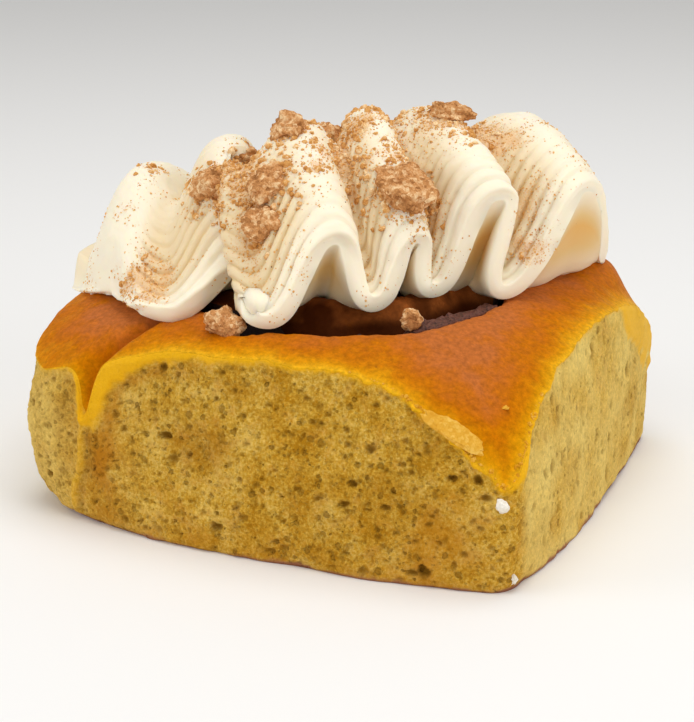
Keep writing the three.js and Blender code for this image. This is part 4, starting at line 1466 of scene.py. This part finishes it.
    def build_lobe(self, lobe: tuple[float, ...]) -> Solid:
        """Make one extra lobe of frosting, with faint upright creases and painted golden shade on its top."""
        x, y, z, size_x, size_y, size_z, turn, painted_top_shade = lobe
        rows, columns = 46, 84
        polar_angle = np.linspace(0, 180, rows)[1:-1, None]
        around = np.arange(columns)[None, :] * 360 / columns
        ball = np.stack([np.sin(np.radians(polar_angle)) * np.cos(np.radians(around)),
                         np.sin(np.radians(polar_angle)) * np.sin(np.radians(around)),
                         np.cos(np.radians(polar_angle)) * np.ones_like(around)], -1)
        crease = 0.16 * np.abs(np.sin(np.radians(around * 4.5))) ** 0.7 * np.sin(np.radians(polar_angle)) ** 2
        boxy = ball / (np.abs(ball) ** 2.5).sum(-1, keepdims=True) ** (1 / 2.5)
        shell = boxy * np.array([size_x, size_y, size_z]) / 2 + ball * (crease[..., None] - 0.1)
        spin = turn_matrix(np.radians(turn))
        poles = np.array([[0, 0, size_z / 2], [0, 0, -size_z / 2]])
        points = np.vstack([shell.reshape(-1, 3), poles]) @ spin.T + np.array([x, y, z])
        ring = np.arange(columns)
        after = (ring + 1) % columns
        last = (rows - 3) * columns
        faces = [ring_quads(rows - 2, columns),
                 np.stack([after, ring, np.full(columns, len(points) - 2)], -1),
                 np.stack([last + ring, last + after, np.full(columns, len(points) - 1)], -1)]
        zeros = np.zeros(len(points))
        toward = (points - np.array([x, y, z])) / np.array([size_x, size_y, size_z]) * 2
        # painted shade: golden over the lobe's top, towards its left and front, under the arch above it
        golden = painted_top_shade * smooth((0.9 * toward[:, 2] - 0.5 * toward[:, 0] - 0.35 * toward[:, 1] - 0.1) / 0.9)
        return Solid(points, faces, {"dust": zeros, "crumbs": zeros, "cave": golden})

    def build(self, finish: bpy.types.Material) -> bpy.types.Object:
        """Make the piece.

        Args:
            finish: Its material.

        Returns:
            The object, which stands for the frosting.
        """
        joined = self.build_sheet().outward()
        for lobe in self.lobes:
            joined = joined.joined(self.build_lobe(lobe).outward())
        return joined.to_object("frosting_ribbon", finish)


def crest_share(points: np.ndarray) -> np.ndarray:
    """Give how high a point stands between the crust and the ribbon's top."""
    return smooth((points[..., 2] - 43) / 14)


# ---------------------------------------------------------------- crumble


@dataclass(frozen=True)
class Lump:
    """One crumble lump: its fold and share of the length, or its place on the crust, and three sizes."""

    sizes: tuple[float, float, float]
    fold: float = 0.0
    along: float = 0.0
    crust: tuple[float, float] | None = None


@dataclass
class Crumble:
    """The large crumble lumps, one for each streusel node."""

    form: BunForm
    ribbon: Ribbon
    lumps: tuple[Lump, ...] = (
        Lump((9, 9, 6.5), 2.86, 0.24), Lump((12, 8, 6), 4.36, 0.36), Lump((14.5, 10, 7), 6.98, 0.13),
        Lump((8.5, 8.5, 6), 4.28, 0.26), Lump((8, 7, 5.5), 3.4, 0.56), Lump((8, 6.5, 5.5), 4.85, 0.45),
        Lump((10, 8, 5.5), 5.5, 0.62), Lump((10, 7, 4.5), 9.05, 0.4), Lump((8, 7, 6), crust=(-13.5, -40.5)),
    )
    sink: float = 0.42               # share of a lump's height that lies in the frosting
    details: tuple[int, int] = (4, 5)                        # subdivisions of a small and a large clump
    large: float = 5.5               # mm of length above which a clump is large

    def place(self, lump: Lump) -> tuple[np.ndarray, np.ndarray]:
        """Find a lump's foot and the way the surface there faces.

        Args:
            lump: The lump.

        Returns:
            The foot in millimetres and a direction of length 1.
        """
        if lump.crust:
            x, y = lump.crust
            height = self.form.crust_height(np.degrees(np.arctan2(y, x)), np.hypot(x, y))
            return np.array([x, y, float(height)]), np.array([0.0, 0.0, 1.0])
        across = lump.fold + np.array([-0.02, 0, 0.02])
        along = lump.along + np.array([-0.01, 0, 0.01])
        patch = self.ribbon.sheet(across, along, False)
        up = self.ribbon.normals(patch)[1, 1]
        return patch[1, 1] + up * self.ribbon.thickness / 2, up

    def build(self, number: int, finish: bpy.types.Material) -> bpy.types.Object:
        """Make one lump.

        Args:
            number: Which lump, from 1.
            finish: Its material.

        Returns:
            The object, which stands for that streusel node.
        """
        lump = self.lumps[number - 1]
        foot, up = self.place(lump)
        lean = unit(np.array([0, 0, 1.2]) + up)
        centre = foot + lean * lump.sizes[2] * (0.5 - self.sink)
        return self.clump(f"crumble_lump_{number:02d}", centre, lean, lump.sizes, 47 * number, number, finish)

    def clump(self, name: str, centre: np.ndarray, up: np.ndarray, sizes: tuple[float, float, float],
              turn: float, seed: int, finish: bpy.types.Material, grainy: float = 1.0,
              toward: tuple[float, float, float] | None = None) -> bpy.types.Object:
        """Make a clump of grains.

        Args:
            name: The piece's name.
            centre: Its middle in millimetres.
            up: The way its height points.
            sizes: Length, width and height in millimetres.
            turn: Degrees it is turned about its height.
            seed: Which clump.
            finish: Its material.
            grainy: How much its grains stand out.
            toward: The way its length points, in place of the turn.

        Returns:
            The object.
        """
        detail = self.details[int(max(sizes) > self.large)]
        bpy.ops.mesh.primitive_ico_sphere_add(subdivisions=detail, radius=1.0)
        ball = bpy.context.active_object
        directions = unit(np.array([v.co for v in ball.data.vertices], float))
        faces = np.array([p.vertices[:] for p in ball.data.polygons])
        bpy.data.objects.remove(ball)
        seeds = 100 + 10 * seed
        shift = directions * 2.4 + 7 * seed
        lumpy = 1 + 0.34 * noise(shift, 1.9, seeds) + 0.18 * noise(shift, 0.9, seeds + 1)
        points = directions * lumpy[:, None] * np.array(sizes) / 2
        there = points + 40 * seed
        clumps = bubbles(there, 2.0, 0.6, 1.2, 0.95, seeds + 2)
        grains = bubbles(there + 3, 0.7, 0.22, 0.48, 0.95, seeds + 7)
        rough = 0.12 * rough_noise(there, 0.5, 2, seeds + 12)
        rise = 0.35 * clumps + 0.7 * grains + rough - 0.4
        points = points + directions * (grainy * rise)[:, None]
        tilt = np.array(Vector((0, 0, 1)).rotation_difference(Vector(up)).to_matrix())
        flat = tilt.T @ np.array(toward or (math.cos(math.radians(turn)), math.sin(math.radians(turn)), 0))
        spin = turn_matrix(math.atan2(flat[1], flat[0]))
        points = points @ spin.T @ tilt.T + centre
        return Solid(points, [faces]).outward().to_object(name, finish, shade_smooth=grainy < 0.5)

    def on_crust(self, angle: float, radius: float, lift: float) -> np.ndarray:
        """Give a point over the crust, lifted by some millimetres."""
        height = float(self.form.crust_height(np.array(angle), np.array(radius)))
        return polar(np.array(angle), np.array(radius), np.array(height + lift))

    def on_side(self, angle: float, height: float, lift: float) -> np.ndarray:
        """Give a point outside the torn side, lifted by some millimetres."""
        reach = self.form.side_reach(np.array(angle), np.array(height))
        return polar(np.array(angle), reach + lift, np.array(height))


@dataclass(frozen=True)
class Morsel:
    """One small bit with a place of its own."""

    name: str
    centre: np.ndarray
    sizes: tuple[float, float, float]
    seed: int
    finish: bpy.types.Material
    slot: Slot = Slot.FROSTING
    grainy: float = 0.45
    up: tuple[float, float, float] = (0.0, 0.0, 1.0)
    toward: tuple[float, float, float] | None = None


@dataclass
class Scatter:
    """Small grains strewn over a surface by Geometry Nodes, made one plain mesh."""

    name: str
    mask: str                        # attribute that says how thickly they lie
    density: float                   # grains on a square centimetre where the mask is 1
    smallest: float                  # mm
    largest: float                   # mm
    finish: bpy.types.Material
    seed: int
    favour_small: float = 3.0
    detail: int = 1
    ragged: float = 0.35             # mm
    wobble: float = 0.6              # mm, width of the waves that make a grain ragged
    squat: float = 0.65              # smallest and largest share of its size in each direction
    stout: float = 1.25

    def tree(self) -> bpy.types.NodeTree:
        """Build the Geometry Nodes tree with its named inputs."""
        tree = bpy.data.node_groups.new(self.name + "_tree", "GeometryNodeTree")
        tree.interface.new_socket("Geometry", in_out="INPUT", socket_type="NodeSocketGeometry")
        for title in ("Density", "Smallest", "Largest", "Favour Small", "Ragged"):
            tree.interface.new_socket(title, in_out="INPUT", socket_type="NodeSocketFloat")
        tree.interface.new_socket("Seed", in_out="INPUT", socket_type="NodeSocketInt")
        tree.interface.new_socket("Geometry", in_out="OUTPUT", socket_type="NodeSocketGeometry")
        given = add_node(tree, "NodeGroupInput", {}, None)
        mask = add_node(tree, "GeometryNodeInputNamedAttribute", {"Name": self.mask}, data_type="FLOAT")
        thick = add_node(tree, MATH, {0: mask, 1: given["Density"]}, operation="MULTIPLY")
        links = {"Mesh": given["Geometry"], "Density": thick, "Seed": given["Seed"]}
        points = add_node(tree, "GeometryNodeDistributePointsOnFaces", links, distribute_method="RANDOM")
        ball = add_node(tree, "GeometryNodeMeshIcoSphere", {"Radius": 0.5, "Subdivisions": self.detail})
        spin = add_node(tree, RANDOM, {"Max": (2 * math.pi,) * 3, "Seed": given["Seed"]},
                        data_type="FLOAT_VECTOR")
        chance = add_node(tree, RANDOM, {"Seed": given["Seed"]}, 1, data_type="FLOAT")
        skewed = add_node(tree, MATH, {0: chance, 1: given["Favour Small"]}, operation="POWER")
        size = add_node(tree, RANGE, {"Value": skewed, "To Min": given["Smallest"],
                                      "To Max": given["Largest"]})
        uneven = add_node(tree, RANDOM, {"Min": (self.squat,) * 3, "Max": (self.stout,) * 3,
                                         "Seed": given["Seed"]}, data_type="FLOAT_VECTOR")
        scale = add_node(tree, VECTOR, {0: uneven, "Scale": size}, operation="SCALE")
        links = {"Points": points, "Instance": ball, "Rotation": spin, "Scale": scale}
        copies = add_node(tree, "GeometryNodeInstanceOnPoints", links)
        whole = add_node(tree, "GeometryNodeRealizeInstances", {"Geometry": copies})
        wobble = add_node(tree, NOISE, {"Scale": PER_MM / self.wobble, "Detail": 1.0}, "Color")
        centred = add_node(tree, VECTOR, {0: wobble, 1: (0.5, 0.5, 0.5)}, operation="SUBTRACT")
        amount = add_node(tree, VECTOR, {0: centred, "Scale": given["Ragged"]}, operation="SCALE")
        moved = add_node(tree, "GeometryNodeSetPosition", {"Geometry": whole, "Offset": amount})
        dressed = add_node(tree, "GeometryNodeSetMaterial", {"Geometry": moved, "Material": self.finish})
        add_node(tree, "NodeGroupOutput", {0: dressed}, None)
        return tree

    def build(self, surface: bpy.types.Object) -> bpy.types.Object:
        """Strew the grains over a finished piece.

        Args:
            surface: The piece, with the mask as an attribute.

        Returns:
            A new object of plain mesh.
        """
        carrier = bpy.data.objects.new(self.name + "_carrier", surface.data.copy())
        bpy.context.scene.collection.objects.link(carrier)
        tree = self.tree()
        modifier = carrier.modifiers.new("strew", "NODES")
        modifier.node_group = tree
        wanted = {"Density": self.density * 1e4, "Smallest": self.smallest * MM, "Largest": self.largest * MM,
                  "Favour Small": self.favour_small, "Ragged": self.ragged * MM, "Seed": self.seed}
        for item in tree.interface.items_tree:
            if item.in_out == "INPUT" and item.name in wanted:
                modifier[item.identifier] = wanted[item.name]
        evaluated = carrier.evaluated_get(bpy.context.evaluated_depsgraph_get())
        mesh = bpy.data.meshes.new_from_object(evaluated)
        mesh.name = self.name
        bpy.data.objects.remove(carrier)
        made = bpy.data.objects.new(self.name, mesh)
        bpy.context.scene.collection.objects.link(made)
        return made


# ---------------------------------------------------------------- studio


@dataclass
class Studio:
    """A plain pale floor, soft light and the camera at the photograph's angle."""

    camera_mm: tuple[float, float, float] = (152.543, -363.220, 147.540)
    azimuth: float = 23.471
    elevation: float = 17.356
    lens: float = 98.7
    world_strength: float = 0.46
    floor_color: str = "#F4F3F1"
    aim: tuple[float, float, float] = (0, 0, 0.03)           # metres, where every lamp points
    # The lamps: name, place in metres, side in metres and power in watts.
    lamps: tuple[tuple[str, tuple[float, float, float], float, float], ...] = (
        ("key", (0.05, 0.02, 0.75), 0.55, 2.9), ("right_fill", (0.8, -0.2, 0.35), 0.5, 2.1),
        ("front_fill", (0.1, -0.9, 0.4), 0.6, 1.0), ("left_fill", (-0.75, -0.5, 0.3), 0.5, 2.0),
    )

    def build(self) -> None:
        """Make camera, world, lights and floor."""
        scene = bpy.context.scene
        camera = bpy.data.objects.new("camera", bpy.data.cameras.new("camera"))
        scene.collection.objects.link(camera)
        turn, rise = math.radians(self.azimuth), math.radians(self.elevation)
        back = Vector((math.sin(turn) * math.cos(rise), -math.cos(turn) * math.cos(rise), math.sin(rise)))
        camera.location = Vector(self.camera_mm) * MM
        camera.rotation_mode = "QUATERNION"
        camera.rotation_quaternion = (-back).to_track_quat("-Z", "Y")
        camera.data.lens = self.lens
        camera.data.clip_start, camera.data.clip_end = 0.01, 20.0
        scene.camera = camera
        scene.view_settings.view_transform = "Standard"
        world = bpy.data.worlds.new("soft_studio")
        world.use_nodes = True
        background = world.node_tree.nodes["Background"]
        background.inputs["Color"].default_value = (1.0, 0.995, 0.985, 1.0)
        background.inputs["Strength"].default_value = self.world_strength
        scene.world = world
        for lamp in self.lamps:
            self.light(*lamp)
        material = bpy.data.materials.new("pale_floor")
        material.use_nodes = True
        shader = material.node_tree.nodes["Principled BSDF"]
        shader.inputs["Base Color"].default_value = linear(self.floor_color)
        shader.inputs["Roughness"].default_value = 0.7
        bpy.ops.mesh.primitive_plane_add(size=6.0)
        floor = bpy.context.active_object
        floor.name = "floor"
        floor.data.materials.append(material)

    def light(self, name: str, place: tuple[float, float, float], size: float, power: float) -> None:
        """Add a square soft lamp that faces the roll.

        Args:
            name: Its name.
            place: Its place in metres.
            size: Its side in metres.
            power: Its power in watts.
        """
        data = bpy.data.lights.new(name, "AREA")
        data.shape, data.size, data.energy = "SQUARE", size, power
        made = bpy.data.objects.new(name, data)
        made.location = place
        made.rotation_mode = "QUATERNION"
        made.rotation_quaternion = (Vector(self.aim) - Vector(place)).to_track_quat("-Z", "Y")
        bpy.context.scene.collection.objects.link(made)


def main() -> None:
    """Build the studio and every piece of the roll, in order."""
    logging.basicConfig(level=logging.INFO, format="%(name)s %(message)s")
    Studio().build()
    form = BunForm()
    seam = Seam(form)
    crumb = CrumbBody(form).build(TornCrumb().material())
    attach(crumb, Slot.DOUGH, "dough")
    crust = CrustSkin(form, seam).build(BakedCrust().material())
    attach(crust, Slot.DOUGH, "dough")
    filling = FillingStrip(form, seam).build(CinnamonFilling().material())
    attach(filling, Slot.FILLING, "cinnamon_filling")
    ribbon = Ribbon()
    frosting = ribbon.build(WhippedFrosting().material())
    attach(frosting, Slot.FROSTING, "frosting")
    biscuit = ButterCrumble().material()
    crumble = Crumble(form, ribbon)
    for number in range(1, len(crumble.lumps) + 1):
        attach(crumble.build(number, biscuit), Slot.STREUSEL, f"streusel_{number:02d}")
    orange = ButterCrumble("cinnamon_sugar_grains", "#D0924A", "#E6B066", "#F5D6A0").material()
    spice = ButterCrumble("ground_spice", "#3A2412", "#5A3A1C", "#7A5528").material()
    golden = ButterCrumble("golden_crumble_bits", "#B87838", "#DFA661", "#F8DCAE").material()
    torn = ButterCrumble("torn_bread_crumbs", "#CE8C1A", "#DD9E2A", "#E8B448", grain=0.5).material()
    film = ButterCrumble("torn_crust_film", "#D8982A", "#E2A83A", "#EEBE58", grain=0.6).material()
    cream = ButterCrumble("dried_frosting", "#D8CAB0", "#EADFCB", "#F8F2E6", grain=1.5).material()
    for scatter, surface in (
        (Scatter("crumble_bits", "crumbs", 300.0, 0.35, 1.5, golden, 5, detail=2, ragged=0.6), frosting),
        (Scatter("sugar_grains", "dust", 700.0, 0.18, 0.55, orange, 6, ragged=0.3), frosting),
        (Scatter("spice_specks", "dust", 8.0, 0.12, 0.35, spice, 7, ragged=0.15), frosting),
        (Scatter("rim_crumbs", "crumbly", 900.0, 0.25, 0.9, torn, 8, ragged=0.5), crust),
    ):
        attach(scatter.build(surface), Slot.DOUGH if surface is crust else Slot.STREUSEL)
    for bit in (
        Morsel("groove_crumb", crumble.on_crust(305, 35.8, 0.7), (5.2, 4.4, 4.0), 21, biscuit, Slot.STREUSEL,
               grainy=1.0),
        Morsel("crust_speck", crumble.on_crust(317.8, 58.2, 0.0), (1.9, 1.6, 0.9), 22, torn),
        Morsel("frosting_dab_upper", crumble.on_side(313.4, 16.8, 0.0), (2.3, 1.9, 2.8), 23, cream),
        Morsel("frosting_dab_lower", crumble.on_side(315.5, 2.7, 0.0), (2.0, 1.6, 1.9), 24, cream),
        Morsel("skin_flap", np.array([36.4, -48.9, 30.3]), (13.5, 3.4, 1.0), 25, film, Slot.DOUGH, 0.4,
               up=(0.38, -0.75, 0.54), toward=(9, 0.6, -4.6)),
    ):
        attach(crumble.clump(bit.name, bit.centre, bit.up, bit.sizes, 0, bit.seed, bit.finish, bit.grainy,
                             bit.toward), bit.slot)


if __name__ == "__main__":
    main()
